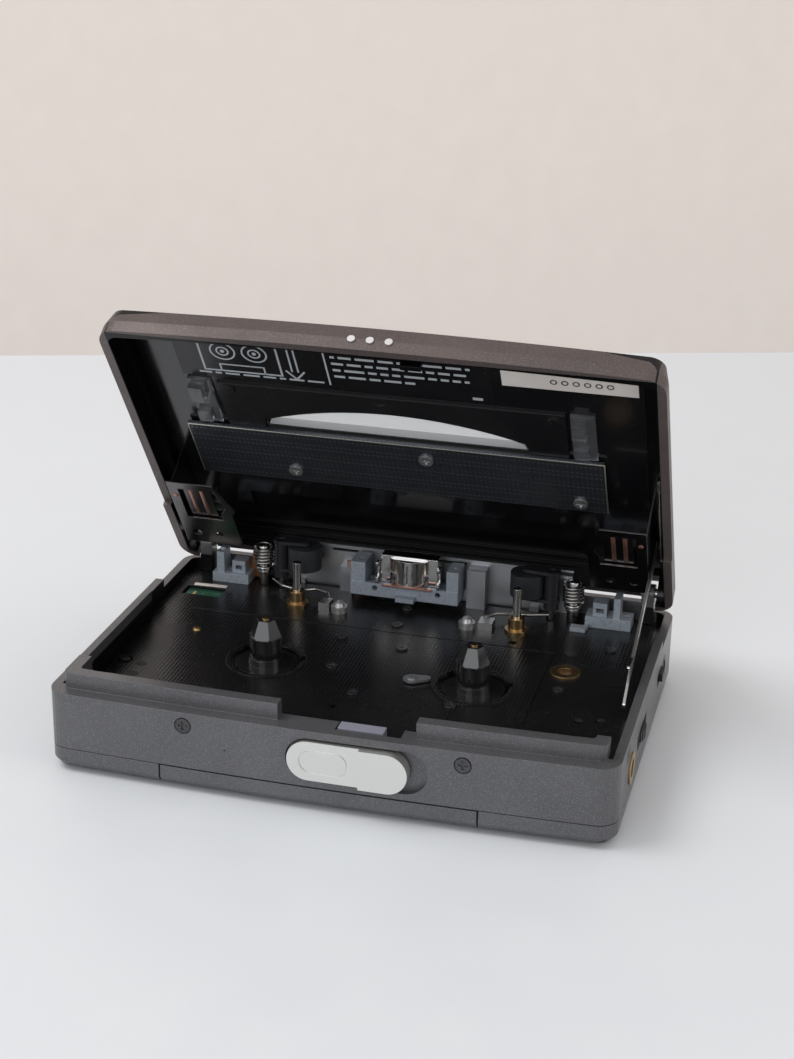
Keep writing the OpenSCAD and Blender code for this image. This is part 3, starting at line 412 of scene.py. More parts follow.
@dataclass(frozen=True)
class Palette:
    """Every finish on the player."""

    case: Finish = Finish(
        "case_satin", colour=(0.125, 0.125, 0.132), shade=(0.1, 0.1, 0.107), rough=(0.3, 0.4),
        metal=0.5, grain=Grain.SPECKLE, size=3800.0, bump=0.16,
        lining=Lining(half=(0.05275, 0.0369), colour=(0.006, 0.006, 0.007), rough=0.3, top=0.0157),
    )
    lid: Finish = Finish(
        "lid_satin", colour=(0.115, 0.092, 0.088), shade=(0.085, 0.07, 0.068), rough=(0.36, 0.48),
        metal=0.45, grain=Grain.SPECKLE, size=3600.0, bump=0.1,
        lining=Lining(
            half=(0.0528, 0.0371), colour=(0.006, 0.006, 0.007), rough=0.2, open_lid=True, top=0.02356
        ),
    )
    deck: Finish = Finish(
        "deck_moulding", colour=(0.0045, 0.0045, 0.005), shade=(0.007, 0.007, 0.008),
        rough=(0.2, 0.3), grain=Grain.DOTS, size=1350.0, bump=0.22, level=0.28,
    )
    liner: Finish = Finish(
        "liner_gloss", colour=(0.005, 0.005, 0.006), shade=(0.008, 0.008, 0.009), rough=(0.1, 0.2),
        size=1400.0, bump=0.03, coat=0.4,
    )
    label: Finish = Finish(
        "label_gloss", colour=(0.006, 0.006, 0.007), shade=(0.009, 0.009, 0.01), rough=(0.18, 0.28),
        size=2200.0, bump=0.03,
    )
    paper: Finish = Finish(
        "label_white", colour=(0.62, 0.57, 0.53), shade=(0.7, 0.66, 0.62), rough=(0.45, 0.6),
        size=2600.0, bump=0.08,
    )
    ink_white: Finish = Finish(
        "print_white", colour=(0.42, 0.45, 0.47), shade=(0.36, 0.39, 0.42), rough=(0.4, 0.5),
        size=5200.0, bump=0.05, edge=0.0,
    )
    ink_dark: Finish = Finish(
        "print_dark", colour=(0.04, 0.03, 0.04), shade=(0.07, 0.06, 0.07), rough=(0.5, 0.6),
        size=5200.0, bump=0.05, edge=0.0,
    )
    window: Finish = Finish(
        "window_clear", colour=(0.8, 0.8, 0.82), shade=(0.76, 0.76, 0.79), rough=(0.03, 0.08),
        size=900.0, bump=0.01, clear=0.96, edge=0.0,
    )
    clip: Finish = Finish(
        "clip_clear", colour=(0.52, 0.53, 0.56), shade=(0.45, 0.46, 0.5), rough=(0.06, 0.14),
        size=900.0, bump=0.02, clear=0.88,
    )
    panel: Finish = Finish(
        "panel_black", colour=(0.007, 0.007, 0.008), shade=(0.011, 0.011, 0.012),
        rough=(0.22, 0.34), size=1900.0, bump=0.06,
    )
    holder: Finish = Finish(
        "holder_dark_metal", colour=(0.1, 0.108, 0.125), shade=(0.075, 0.08, 0.095),
        rough=(0.26, 0.34), metal=0.8, grain=Grain.DOTS, size=1050.0, bump=0.35,
    )
    pocket: Finish = Finish(
        "pocket_plated", colour=(0.2, 0.19, 0.19), shade=(0.12, 0.115, 0.115), rough=(0.16, 0.28),
        metal=1.0, grain=Grain.BRUSHED, size=900.0, bump=0.05,
    )
    zinc: Finish = Finish(
        "zinc_cast", colour=(0.4, 0.45, 0.51), shade=(0.33, 0.37, 0.43), rough=(0.38, 0.52),
        metal=0.35, grain=Grain.CAST, size=2300.0, bump=0.2,
    )
    steel: Finish = Finish(
        "plate_steel", colour=(0.5, 0.5, 0.51), shade=(0.4, 0.4, 0.42), rough=(0.2, 0.34),
        metal=1.0, grain=Grain.BRUSHED, size=900.0, bump=0.06,
    )
    spring: Finish = Finish(
        "spring_wire", colour=(0.6, 0.59, 0.58), shade=(0.48, 0.47, 0.46), rough=(0.18, 0.3),
        metal=1.0, grain=Grain.BRUSHED, size=1500.0, bump=0.05, edge=0.0,
    )
    chrome: Finish = Finish(
        "head_chrome", colour=(0.72, 0.71, 0.7), shade=(0.62, 0.61, 0.6), rough=(0.05, 0.12),
        metal=1.0, grain=Grain.BRUSHED, size=700.0, bump=0.02,
    )
    pin: Finish = Finish(
        "pin_steel", colour=(0.58, 0.58, 0.6), shade=(0.5, 0.5, 0.52), rough=(0.12, 0.24),
        metal=1.0, grain=Grain.BRUSHED, size=1200.0, bump=0.04,
    )
    screw: Finish = Finish(
        "screw_black", colour=(0.06, 0.06, 0.065), shade=(0.1, 0.1, 0.105), rough=(0.2, 0.34),
        metal=0.85, size=2400.0, bump=0.08,
    )
    brass: Finish = Finish(
        "brass_turned", colour=(0.55, 0.38, 0.19), shade=(0.44, 0.3, 0.15), rough=(0.2, 0.34),
        metal=1.0, grain=Grain.BRUSHED, size=1300.0, bump=0.06,
    )
    copper: Finish = Finish(
        "copper_strip", colour=(0.5, 0.26, 0.2), shade=(0.36, 0.2, 0.16), rough=(0.28, 0.42),
        metal=0.9, grain=Grain.BRUSHED, size=1300.0, bump=0.05,
    )
    board: Finish = Finish(
        "circuit_board", colour=(0.012, 0.085, 0.05), shade=(0.01, 0.065, 0.04), rough=(0.3, 0.42),
        grain=Grain.BOARD, size=520.0, bump=0.08,
    )
    motor: Finish = Finish(
        "motor_can", colour=(0.44, 0.44, 0.45), shade=(0.35, 0.35, 0.36), rough=(0.24, 0.36),
        metal=1.0, grain=Grain.BRUSHED, size=900.0, bump=0.06,
    )
    nickel: Finish = Finish(
        "contact_nickel", colour=(0.6, 0.57, 0.52), shade=(0.5, 0.47, 0.43), rough=(0.18, 0.3),
        metal=1.0, grain=Grain.BRUSHED, size=1100.0, bump=0.05,
    )
    moulding: Finish = Finish(
        "moulding_black", colour=(0.008, 0.008, 0.009), shade=(0.014, 0.014, 0.015),
        rough=(0.34, 0.5), size=2000.0, bump=0.1,
    )
    rubber: Finish = Finish(
        "roller_rubber", colour=(0.018, 0.02, 0.024), shade=(0.028, 0.031, 0.036),
        rough=(0.42, 0.56), size=3000.0, bump=0.14,
    )
    slider: Finish = Finish(
        "slider_silver", colour=(0.66, 0.63, 0.61), shade=(0.57, 0.54, 0.52), rough=(0.26, 0.36),
        metal=0.7, grain=Grain.SPECKLE, size=5200.0, bump=0.05,
    )
    tab: Finish = Finish(
        "tab_grey", colour=(0.33, 0.34, 0.42), shade=(0.27, 0.28, 0.35), rough=(0.34, 0.46),
        metal=0.3, size=2600.0, bump=0.08,
    )
    gear: Finish = Finish(
        "gear_nylon", colour=(0.68, 0.66, 0.6), shade=(0.6, 0.58, 0.53), rough=(0.42, 0.54),
        size=1500.0, bump=0.08,
    )
    key: Finish = Finish(
        "key_grey", colour=(0.3, 0.3, 0.31), shade=(0.24, 0.24, 0.25), rough=(0.32, 0.44),
        metal=0.4, grain=Grain.SPECKLE, size=4200.0, bump=0.06,
    )
    gloss: Finish = Finish(
        "spindle_gloss", colour=(0.009, 0.009, 0.01), shade=(0.014, 0.014, 0.015), rough=(0.1, 0.2),
        size=1300.0, bump=0.03, coat=0.5,
    )
    amber: Finish = Finish(
        "flex_amber", colour=(0.3, 0.11, 0.025), shade=(0.2, 0.075, 0.02), rough=(0.24, 0.36),
        grain=Grain.BRUSHED, size=700.0, bump=0.05, clear=0.15,
    )
    # Painted shade: dark matte discs laid in the deck's blind holes in place of their shadowed depth.
    shade_in_holes: Finish = Finish(
        "painted_hole_shade", colour=(0.003, 0.003, 0.003), shade=(0.005, 0.005, 0.005), rough=(0.5, 0.7),
        size=2000.0, bump=0.05,
    )
    table: Finish = Finish(
        "table_white", colour=(0.74, 0.77, 0.81), shade=(0.75, 0.78, 0.815), rough=(0.4, 0.55),
        size=700.0, bump=0.02, edge=0.0,
    )
    wall: Finish = Finish(
        "wall_cream", colour=(0.86, 0.79, 0.75), shade=(0.88, 0.81, 0.77), rough=(0.8, 0.9),
        size=160.0, bump=0.08, edge=0.0,
    )


FINISHES = Palette()

# Which finish each material slot of the frame takes, and the nodes that need another.
SLOT_FINISH: dict[str, Finish] = {
    "case_paint": FINISHES.case,
    "lid_paint": FINISHES.lid,
    "deck_black": FINISHES.deck,
    "liner_black": FINISHES.liner,
    "label_silver": FINISHES.paper,
    "label_black": FINISHES.label,
    "window_clear": FINISHES.window,
    "clear_plastic": FINISHES.clip,
    "zinc_grey": FINISHES.zinc,
    "spring_steel": FINISHES.spring,
    "plate_steel": FINISHES.steel,
    "bright_chrome": FINISHES.chrome,
    "screw_dark": FINISHES.screw,
    "pin_steel": FINISHES.pin,
    "brass_parts": FINISHES.brass,
    "board_green": FINISHES.board,
    "motor_can": FINISHES.motor,
    "contact_nickel": FINISHES.nickel,
    "moulding_black": FINISHES.moulding,
    "belt_rubber": FINISHES.rubber,
    "slider_silver": FINISHES.slider,
    "tab_lilac": FINISHES.tab,
    "gear_white": FINISHES.gear,
    "key_grey": FINISHES.key,
}
NODE_FINISH: dict[str, Finish] = {
    "serial_label": FINISHES.paper,
    "info_label": FINISHES.label,
    "window_panel": FINISHES.panel,
    "holder_plate": FINISHES.holder,
    "holder_screws": FINISHES.pin,
    "pinch_roller_left": FINISHES.rubber,
    "pinch_roller_right": FINISHES.rubber,
    "spindle_left": FINISHES.gloss,
    "spindle_right": FINISHES.gloss,
    "rim_studs": FINISHES.pin,
    "pocket_left": FINISHES.pocket,
    "pocket_right": FINISHES.pocket,
}


class Stock:
    """Small shapes that the pieces are cut and joined from. Every size is in millimetres."""

    @staticmethod
    def block(low: Point, high: Point, soft: float = 0.0, segments: int = 2) -> Shape:
        """A block with rounded edges.

        Args:
            low: lowest corner.
            high: highest corner.
            soft: rounding of the edges.
            segments: steps in the rounding.

        Returns:
            The shape.
        """
        shape = bmesh.new()
        middle = [(a + b) / 2 for a, b in zip(low, high)]
        size = [b - a for a, b in zip(low, high)]
        place = Matrix.Translation(middle) @ Matrix.Diagonal((*size, 1.0))
        bmesh.ops.create_cube(shape, size=1.0, matrix=place)
        if soft:
            Stock.round_edges(shape, shape.edges[:], soft, segments)
        return shape

    @staticmethod
    def round_edges(shape: Shape, edges: list[bmesh.types.BMEdge], soft: float, segments: int) -> None:
        """Rounds some edges.

        Args:
            shape: the shape.
            edges: the edges to round.
            soft: the radius.
            segments: steps in the rounding.
        """
        bmesh.ops.bevel(
            shape, geom=edges, offset=soft, offset_type="OFFSET", segments=segments, profile=0.5,
            affect="EDGES", material=-1, clamp_overlap=True,
        )

    @staticmethod
    def rod(foot: Point, radius: float, length: float, soft: float = 0.0, sides: int = 32) -> Shape:
        """An upright rod or disc with rounded ends.

        Args:
            foot: middle of its lower end.
            radius: its radius.
            length: its height.
            soft: rounding of the rims.
            sides: sides round it.

        Returns:
            The shape.
        """
        shape = bmesh.new()
        place = Matrix.Translation(foot) @ Matrix.Translation((0.0, 0.0, length / 2))
        bmesh.ops.create_cone(
            shape, cap_ends=True, cap_tris=False, segments=sides, radius1=radius, radius2=radius,
            depth=length, matrix=place,
        )
        if soft:
            rims = [e for e in shape.edges if any(len(f.verts) > 4 for f in e.link_faces)]
            Stock.round_edges(shape, rims, soft, 2)
        return shape

    @staticmethod
    def ring(middle: Point, inner: float, outer: float, thick: float, steps: int = 40) -> Shape:
        """A flat ring turned from its cross-section.

        Args:
            middle: middle of the lower face.
            inner: radius of the hole.
            outer: outer radius.
            thick: its height.
            steps: steps round it.

        Returns:
            The shape.
        """
        shape = bmesh.new()
        corners = [(inner, 0.0), (outer, 0.0), (outer, thick), (inner, thick)]
        section = [shape.verts.new((x, 0.0, z)) for x, z in corners]
        shape.faces.new(section)
        bmesh.ops.spin(
            shape, geom=shape.verts[:] + shape.edges[:] + shape.faces[:], cent=(0, 0, 0),
            axis=(0, 0, 1), dvec=(0, 0, 0), angle=math.tau, steps=steps, use_merge=True,
            use_duplicate=False,
        )
        inner_faces = [
            f for f in shape.faces
            if abs(f.normal.y) > 0.999 and abs(f.calc_center_median().y) < 1e-6
        ]
        bmesh.ops.delete(shape, geom=inner_faces, context="FACES_ONLY")
        bmesh.ops.remove_doubles(shape, verts=shape.verts[:], dist=1e-4)
        bmesh.ops.transform(shape, matrix=Matrix.Translation(middle), verts=shape.verts[:])
        bmesh.ops.recalc_face_normals(shape, faces=shape.faces[:])
        return shape

    @staticmethod
    def coil(foot: Point, radius: float, wire: float, turns: float, pitch: float) -> Shape:
        """A wound spring.

        Args:
            foot: middle of its lower end.
            radius: radius of the winding.
            wire: radius of the wire.
            turns: number of turns.
            pitch: rise of one turn.

        Returns:
            The shape.
        """
        shape = bmesh.new()
        steps = int(turns * 28)
        stand = Matrix.Translation((radius, 0, wire)) @ Matrix.Rotation(math.radians(90), 4, "X")
        bmesh.ops.create_circle(shape, cap_ends=False, segments=10, radius=wire, matrix=stand)
        bmesh.ops.spin(
            shape, geom=shape.verts[:] + shape.edges[:], cent=(0, 0, 0), axis=(0, 0, 1),
            dvec=(0, 0, pitch * turns / steps), angle=math.tau * turns, steps=steps,
            use_merge=False, use_duplicate=False,
        )
        bmesh.ops.holes_fill(shape, edges=[e for e in shape.edges if e.is_boundary], sides=12)
        bmesh.ops.transform(shape, matrix=Matrix.Translation(foot), verts=shape.verts[:])
        bmesh.ops.recalc_face_normals(shape, faces=shape.faces[:])
        return shape

    @staticmethod
    def ribbon(start: Point, across: Point, path: tuple[Point, ...], thick: float) -> Shape:
        """A flat strip that follows a path.

        Args:
            start: one edge of the strip's beginning.
            across: the step from that edge to the other.
            path: the steps along the strip.
            thick: its thickness.

        Returns:
            The shape.
        """
        shape = bmesh.new()
        a = shape.verts.new(start)
        b = shape.verts.new(Vector(start) + Vector(across))
        edge = shape.edges.new((a, b))
        for step in path:
            grown = bmesh.ops.extrude_edge_only(shape, edges=[edge])["geom"]
            tips = [g for g in grown if isinstance(g, bmesh.types.BMVert)]
            bmesh.ops.translate(shape, verts=tips, vec=Vector(step))
            lines = [g for g in grown if isinstance(g, bmesh.types.BMEdge)]
            edge = next(line for line in lines if all(end in tips for end in line.verts))
        bmesh.ops.recalc_face_normals(shape, faces=shape.faces[:])
        bmesh.ops.solidify(shape, geom=shape.faces[:], thickness=thick)
        bmesh.ops.recalc_face_normals(shape, faces=shape.faces[:])
        return shape


@dataclass
class Piece:
    """One finished piece, gathered from shapes.

    Args:
        name: name of the object.
        body: the moving body it rides on.
        finish: its surface.
        shape: everything gathered so far.
    """

    name: str
    body: str
    finish: Finish
    shape: Shape = field(default_factory=bmesh.new)

    # Edges that turn by more than this stay sharp.
    CREASE = math.radians(35)

    def add(self, other: Shape, place: Matrix | None = None) -> None:
        """Joins a shape to the piece.

        Args:
            other: the shape, which is used up.
            place: a last move of the shape.
        """
        if place is not None:
            bmesh.ops.transform(other, matrix=place, verts=other.verts[:])
        holder = bpy.data.meshes.new("holder")
        other.to_mesh(holder)
        other.free()
        self.shape.from_mesh(holder)
        bpy.data.meshes.remove(holder)

    def place(self, *replaced: str) -> None:
        """Makes the object and fixes it to its body.

        Args:
            replaced: nodes of the frame that it stands for.
        """
        bmesh.ops.scale(self.shape, vec=(MM, MM, MM), verts=self.shape.verts[:])
        mesh = bpy.data.meshes.new(self.name)
        self.shape.to_mesh(mesh)
        self.shape.free()
        mesh.polygons.foreach_set("use_smooth", [True] * len(mesh.polygons))
        mesh.set_sharp_from_angle(angle=self.CREASE)
        mesh.materials.append(self.finish.material())
        made = bpy.data.objects.new(self.name, mesh)
        bpy.context.scene.collection.objects.link(made)
        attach(made, self.body)
        if replaced:
            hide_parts(*replaced)
        LOG.info("%s: %d faces on %s", self.name, len(mesh.polygons), self.body)


@dataclass
class FramePaint:
    """Gives every part of the frame its finish.

    Args:
        slots: the finish of each material slot.
        nodes: the finish of each node that doesn't take its slot's.
    """

    slots: dict[str, Finish] = field(default_factory=lambda: SLOT_FINISH)
    nodes: dict[str, Finish] = field(default_factory=lambda: NODE_FINISH)

    def build(self) -> None:
        """Assigns each node its own finish, or else that of its slot."""
        wanted = {row["node"]: row["material_slot"] for row in frame["record"]["subparts"]}
        for name, thing in frame["nodes"].items():
            finish = self.nodes.get(name) or self.slots.get(wanted.get(name, ""), FINISHES.moulding)
            for slot in thing.material_slots:
                slot.link = "OBJECT"
                slot.material = finish.material()
            if not thing.material_slots:
                thing.data.materials.append(finish.material())
            LOG.info("%s wears %s", name, finish.name)


@dataclass(frozen=True)
class DashRow:
    """A row of plain dashes in place of a line of words.

    Args:
        start: x where the row begins.
        end: x where it stops.
        middle: y of its middle.
        tall: height of the line that it stands for.
        words: lengths of the dashes, used in turn.
    """

    start: float
    end: float
    middle: float
    tall: float
    words: tuple[float, ...]

    # Space between dashes, the shortest dash, and the share of the line's height each fills.
    SPACE = 0.75
    LEAST = 0.4
    FILL = 0.32

    def bars(self) -> list[Bar]:
        """Lays the dashes out.

        Returns:
            The bar that each dash is.
        """
        bars: list[Bar] = []
        x = self.start
        low, high = self.middle - self.tall * self.FILL, self.middle + self.tall * self.FILL
        while x < self.end - self.LEAST:
            length = min(self.words[len(bars) % len(self.words)], self.end - x)
            bars.append((x, low, x + length, high))
            x += length + self.SPACE
        return bars


@dataclass
class LidPrint:
    """The print on the lid's labels: a picture of a tape, an arrow and rows of plain dashes.

    Places are those of the shut lid. A bar is its lowest x and y and then its highest.

    Args:
        face: height of the labels' faces.
        proud: how far the print stands out of them.
        sunk: how far a bar reaches into them.
        disc: thickness of a printed ring or dot.
        tape: outline of the picture of a tape.
        tape_line: width of that outline.
        reels: middles of its two reels.
        reel_rings: inner and outer radius of each ring round a reel.
        reel_dot: radius of the dot in a reel.
        mouth: the three bars of the tape's open edge.
        arrow: the three bars of the arrow's stem.
        tip: x and y of the arrow's tip.
        barb: length of a barb.
        barb_half: half its width.
        barb_turn: angle between a barb and the stem.
        divider: the line between the picture and the text.
        footer: the short bar after the text.
        caption: the row by the picture.
        text_start: x where the rows of text begin.
        text_first: y of the first of them.
        text_pitch: step from row to row.
        text_tall: height of a row.
        text: where each row ends, and its dashes.
        digit: middle of the first ring of the number.
        digit_pitch: step from ring to ring.
        digit_ring: inner and outer radius of a ring.
        digits: how many rings there are.
        number_row: the row by the number.
    """

    face: float = 22.65
    proud: float = 0.04
    sunk: float = 0.02
    disc: float = 0.06
    tape: Bar = (-38.2, -29.5, -21.8, -19.8)
    tape_line: float = 0.42
    reels: tuple[Spot, ...] = ((-33.2, -26.1), (-26.7, -26.1))
    reel_rings: tuple[Span, ...] = ((2.3, 2.65), (1.0, 1.35))
    reel_dot: float = 0.45
    mouth: tuple[Bar, ...] = (
        (-34.4, -22.2, -25.6, -21.85),
        (-34.7, -22.2, -34.35, -19.9),
        (-25.65, -22.2, -25.3, -19.9),
    )
    arrow: tuple[Bar, ...] = (
        (-19.9, -29.4, -19.55, -21.6),
        (-18.65, -29.4, -18.3, -21.6),
        (-19.9, -29.4, -18.3, -29.05),
    )
    tip: Spot = (-19.1, -19.4)
    barb: float = 3.1
    barb_half: float = 0.2
    barb_turn: float = 38.0
    divider: Bar = (-12.6, -31.0, -12.25, -18.6)
    footer: Bar = (16.0, -18.95, 18.0, -18.2)
    caption: DashRow = DashRow(-39.4, -13.6, -19.15, 0.75, (2.6, 1.3, 3.0, 3.4))
    text_start: float = -11.2
    text_first: float = -29.3
    text_pitch: float = 1.95
    text_tall: float = 1.0
    text: tuple[tuple[float, tuple[float, ...]], ...] = (
        (-1.6, (1.8,)),
        (17.4, (0.9, 2.6, 3.8, 3.0)),
        (16.4, (2.4, 2.8, 1.6, 2.3)),
        (15.9, (1.6, 4.0, 1.7, 1.6)),
        (5.0, (2.2, 3.4)),
    )
    digit: Spot = (32.2, -26.0)
    digit_pitch: float = 2.15
    digit_ring: Span = (0.45, 0.72)
    digits: int = 6
    number_row: DashRow = DashRow(30.6, 41.0, -29.3, 0.7, (2.0, 1.2))

    def build(self) -> None:
        """Prints both labels."""
        picture = Piece("label_print", "lid", FINISHES.ink_white)
        self._bars(picture, [*self._tape_bars(), *self.mouth, *self.arrow])
        self._reels(picture)
        self._barbs(picture)
        self._bars(picture, [self.divider, self.footer, *self.caption.bars()])
        for row, (end, words) in enumerate(self.text):
            middle = self.text_first + self.text_pitch * row
            dashes = DashRow(self.text_start, end, middle, self.text_tall, words)
            self._bars(picture, dashes.bars())
        picture.place()
        number = Piece("serial_print", "lid", FINISHES.ink_dark)
        for turn in range(self.digits):
            foot = (self.digit[0] + self.digit_pitch * turn, self.digit[1], self.face - self.proud)
            number.add(Stock.ring(foot, *self.digit_ring, self.disc, steps=12), LID_OPEN)
        self._bars(number, self.number_row.bars())
        number.place()

    def _tape_bars(self) -> list[Bar]:
        """The four sides of the tape's outline.

        Returns:
            The bar that each side is.
        """
        x0, y0, x1, y1 = self.tape
        line = self.tape_line
        return [
            (x0, y0, x1, y0 + line),
            (x0, y1 - line, x1, y1),
            (x0, y0, x0 + line, y1),
            (x1 - line, y0, x1, y1),
        ]

    def _bars(self, piece: Piece, bars: list[Bar]) -> None:
        """Adds printed bars.

        Args:
            piece: the print that they belong to.
            bars: the bars.
        """
        for x0, y0, x1, y1 in bars:
            low, high = (x0, y0, self.face - self.proud), (x1, y1, self.face + self.sunk)
            piece.add(Stock.block(low, high), LID_OPEN)

    def _reels(self, piece: Piece) -> None:
        """Adds the two reels of the tape.

        Args:
            piece: the print that they belong to.
        """
        for x, y in self.reels:
            foot = (x, y, self.face - self.proud)
            for inner, outer in self.reel_rings:
                piece.add(Stock.ring(foot, inner, outer, self.disc), LID_OPEN)
            piece.add(Stock.rod(foot, self.reel_dot, self.disc), LID_OPEN)

    def _barbs(self, piece: Piece) -> None:
        """Adds the two barbs of the arrow.

        Args:
            piece: the print that they belong to.
        """
        low = (-self.barb_half, -self.barb, self.face - self.proud)
        high = (self.barb_half, 0.0, self.face + self.sunk)
        for side in (-1, 1):
            turn = Matrix.Rotation(side * math.radians(self.barb_turn), 4, "Z")
            slope = Matrix.Translation((*self.tip, 0)) @ turn
            piece.add(Stock.block(low, high), LID_OPEN @ slope)


@dataclass(frozen=True)
class Turned:
    """The size of one small upright rod.

    Args:
        radius: its radius.
        length: its height.
        soft: rounding of its rims.
        drop: how far its foot lies below the place it is given.
    """

    radius: float
    length: float
    soft: float
    drop: float = 0.0

    def at(self, foot: Point, sides: int = 32) -> Shape:
        """Stands the rod somewhere.

        Args:
            foot: the place that its drop is measured from.
            sides: sides round it.

        Returns:
            The shape.
        """
        x, y, z = foot
        return Stock.rod((x, y, z - self.drop), self.radius, self.length, self.soft, sides)


@dataclass
class Springs:
    """The two wound springs beside the rollers, on their posts, and a pin beside each.

    Args:
        left: foot of the left spring.
        right: foot of the right spring.
        radius: radius of the winding.
        wire: radius of the wire.
        turns: number of turns.
        pitch: rise of one turn.
        collars: the two collars under each spring.
        post: the post through it.
        pins: x of the two pins.
        pin_y: y of the pins.
        pin: the pin itself.
    """

    left: Point = (-34.4, 32.2, 16.3)
    right: Point = (33.8, 32.2, 15.9)
    radius: float = 2.0
    wire: float = 0.3
    turns: float = 5.6
    pitch: float = 0.74
    collars: tuple[Turned, ...] = (Turned(1.9, 0.8, 0.2, 0.9), Turned(1.5, 0.9, 0.2, 1.8))
    post: Turned = Turned(1.2, 9.2, 0.3)
    pins: tuple[float, float] = (-30.2, 29.2)
    pin_y: float = 31.6
    pin: Turned = Turned(0.86, 11.2, 0.25)

    def build(self) -> None:
        """Winds both springs and stands their posts and pins."""
        both = Piece("wound_springs", "player", FINISHES.spring)
        for x, y, z in (self.left, self.right):
            both.add(Stock.coil((x, y, z), self.radius, self.wire, self.turns, self.pitch))
            for collar in self.collars:
                both.add(collar.at((x, y, z)))
            both.add(self.post.at((x, y, DECK_TOP)))
        for x in self.pins:
            both.add(self.pin.at((x, self.pin_y, DECK_TOP)))
        both.place("pinch_coils")


@dataclass
class PlateTrim:
    """The rolled edges of the holder plate, in a finish brighter than the plate's as a painted highlight,
    and the leaf contacts in the side pockets.

    Places are those of the shut lid.

    Args:
        left: x of the plate's left edge.
        right: x of its right edge.
        front: y of its front edge.
        back: y of its back edge.
        low: height of its lower face.
        lap: how far an edge laps under the plate.
        roll: half width and height of the front roll.
        roll_soft: rounding of the front roll.
        side_out: how far a side roll stands out.
        side_in: how far it reaches in.
        side_high: height of a side roll.
        side_soft: rounding of a side roll.
        leaf_x: distance of each leaf from the middle.
        leaf_wide: width of a leaf.
        leaf_y: nearest and farthest y of a leaf.
        leaf_z: lower and upper face of a leaf.
        leaf_soft: rounding of a leaf.
        rivet: distance from the middle, y and height of a pocket's rivet.
        head: the rivet's own size.
    """

    left: float = -45.6
    right: float = 40.8
    front: float = -2.2
    back: float = 14.2
    low: float = 21.6
    lap: float = 0.04
    roll: tuple[float, float] = (0.22, 0.36)
    roll_soft: float = 0.14
    side_out: float = 0.14
    side_in: float = 0.12
    side_high: float = 0.34
    side_soft: float = 0.1
    leaf_x: tuple[float, ...] = (45.2, 42.8)
    leaf_wide: float = 0.9
    leaf_y: Span = (10.2, 18.8)
    leaf_z: Span = (13.36, 13.44)
    leaf_soft: float = 0.03
    rivet: Point = (48.9, 11.4, 12.55)
    head: Turned = Turned(0.55, 0.2, 0.08)

    def build(self) -> None:
        """Builds the edges and the leaves."""
        self._edges()
        self._leaves()

    def _edges(self) -> None:
        """Rolls the plate's front and side edges in the bright finish that paints their highlight."""
        # Painted highlight: the edges wear bright nickel rather than the plate's dark finish.
        trim = Piece("plate_edge_highlight", "lid", FINISHES.nickel)
        half, high = self.roll
        under = self.low - self.lap
        near = (self.left, self.front - half, under)
        far = (self.right, self.front + half, self.low + high)
        trim.add(Stock.block(near, far, self.roll_soft, 3), LID_OPEN)
        for low_x, high_x in (
            (self.right - self.side_in, self.right + self.side_out),
            (self.left - self.side_out, self.left + self.side_in),
        ):
            near = (low_x, self.front, under)
            far = (high_x, self.back, self.low + self.side_high)
            trim.add(Stock.block(near, far, self.side_soft, 3), LID_OPEN)
        trim.place()

    def _leaves(self) -> None:
        """Lays two leaves and a rivet in each pocket."""
        leaves = Piece("pocket_leaves", "lid", FINISHES.copper)
        (near, far), (low, high) = self.leaf_y, self.leaf_z
        x, y, z = self.rivet
        for side in (-1, 1):
            for inner in self.leaf_x:
                x0, x1 = sorted((side * inner, side * (inner + self.leaf_wide)))
                leaf = Stock.block((x0, near, low), (x1, far, high), self.leaf_soft)
                leaves.add(leaf, LID_OPEN)
            leaves.add(self.head.at((side * x, y, z), 20), LID_OPEN)
        leaves.place()


@dataclass
class HeadTrim:
    """The copper strip at the foot of the head and the two bright tape forks beside it.

    Args:
        middle: x of the head's middle.
        half: half width of the strip.
        strip_y: front and back of the strip.
        strip_z: lower and upper face of the strip.
        strip_soft: rounding of the strip.
        fork_gap: space from the strip's end to a fork's middle.
        fork_half: half width of a fork.
        fork_y: front and back of a fork.
        fork_stem: front of the stem that joins its prongs.
        fork_low: lower and upper face of the lower prong.
        fork_high: lower and upper face of the upper prong.
        fork_soft: rounding of a fork.
    """

    middle: float = -1.2
    half: float = 5.4
    strip_y: Span = (27.5, 28.5)
    strip_z: Span = (16.5, 16.9)
    strip_soft: float = 0.1
    fork_gap: float = 1.3
    fork_half: float = 0.35
    fork_y: Span = (28.0, 29.9)
    fork_stem: float = 29.3
    fork_low: Span = (16.8, 18.2)
    fork_high: Span = (20.6, 21.6)
    fork_soft: float = 0.15

    def build(self) -> None:
        """Builds the strip and the forks."""
        strip = Piece("head_strip", "carriage", FINISHES.copper)
        low = (self.middle - self.half, self.strip_y[0], self.strip_z[0])
        high = (self.middle + self.half, self.strip_y[1], self.strip_z[1])
        strip.add(Stock.block(low, high, self.strip_soft))
        strip.place()
        forks = Piece("tape_forks", "carriage", FINISHES.chrome)
        near, far = self.fork_y
        foot, top = self.fork_low[0], self.fork_high[1]
        for side in (-1, 1):
            x = self.middle + side * (self.half + self.fork_gap)
            x0, x1 = x - self.fork_half, x + self.fork_half
            for z0, z1 in (self.fork_low, self.fork_high):
                forks.add(Stock.block((x0, near, z0), (x1, far, z1), self.fork_soft))
            forks.add(Stock.block((x0, self.fork_stem, foot), (x1, far, top), self.fork_soft))
        forks.place()


@dataclass(frozen=True)
class Strip:
    """One flexible circuit.

    Args:
        start: left edge of its foot.
        wide: its width.
        path: the steps it takes from there.
    """

    start: Point
    wide: float
    path: tuple[Point, ...]


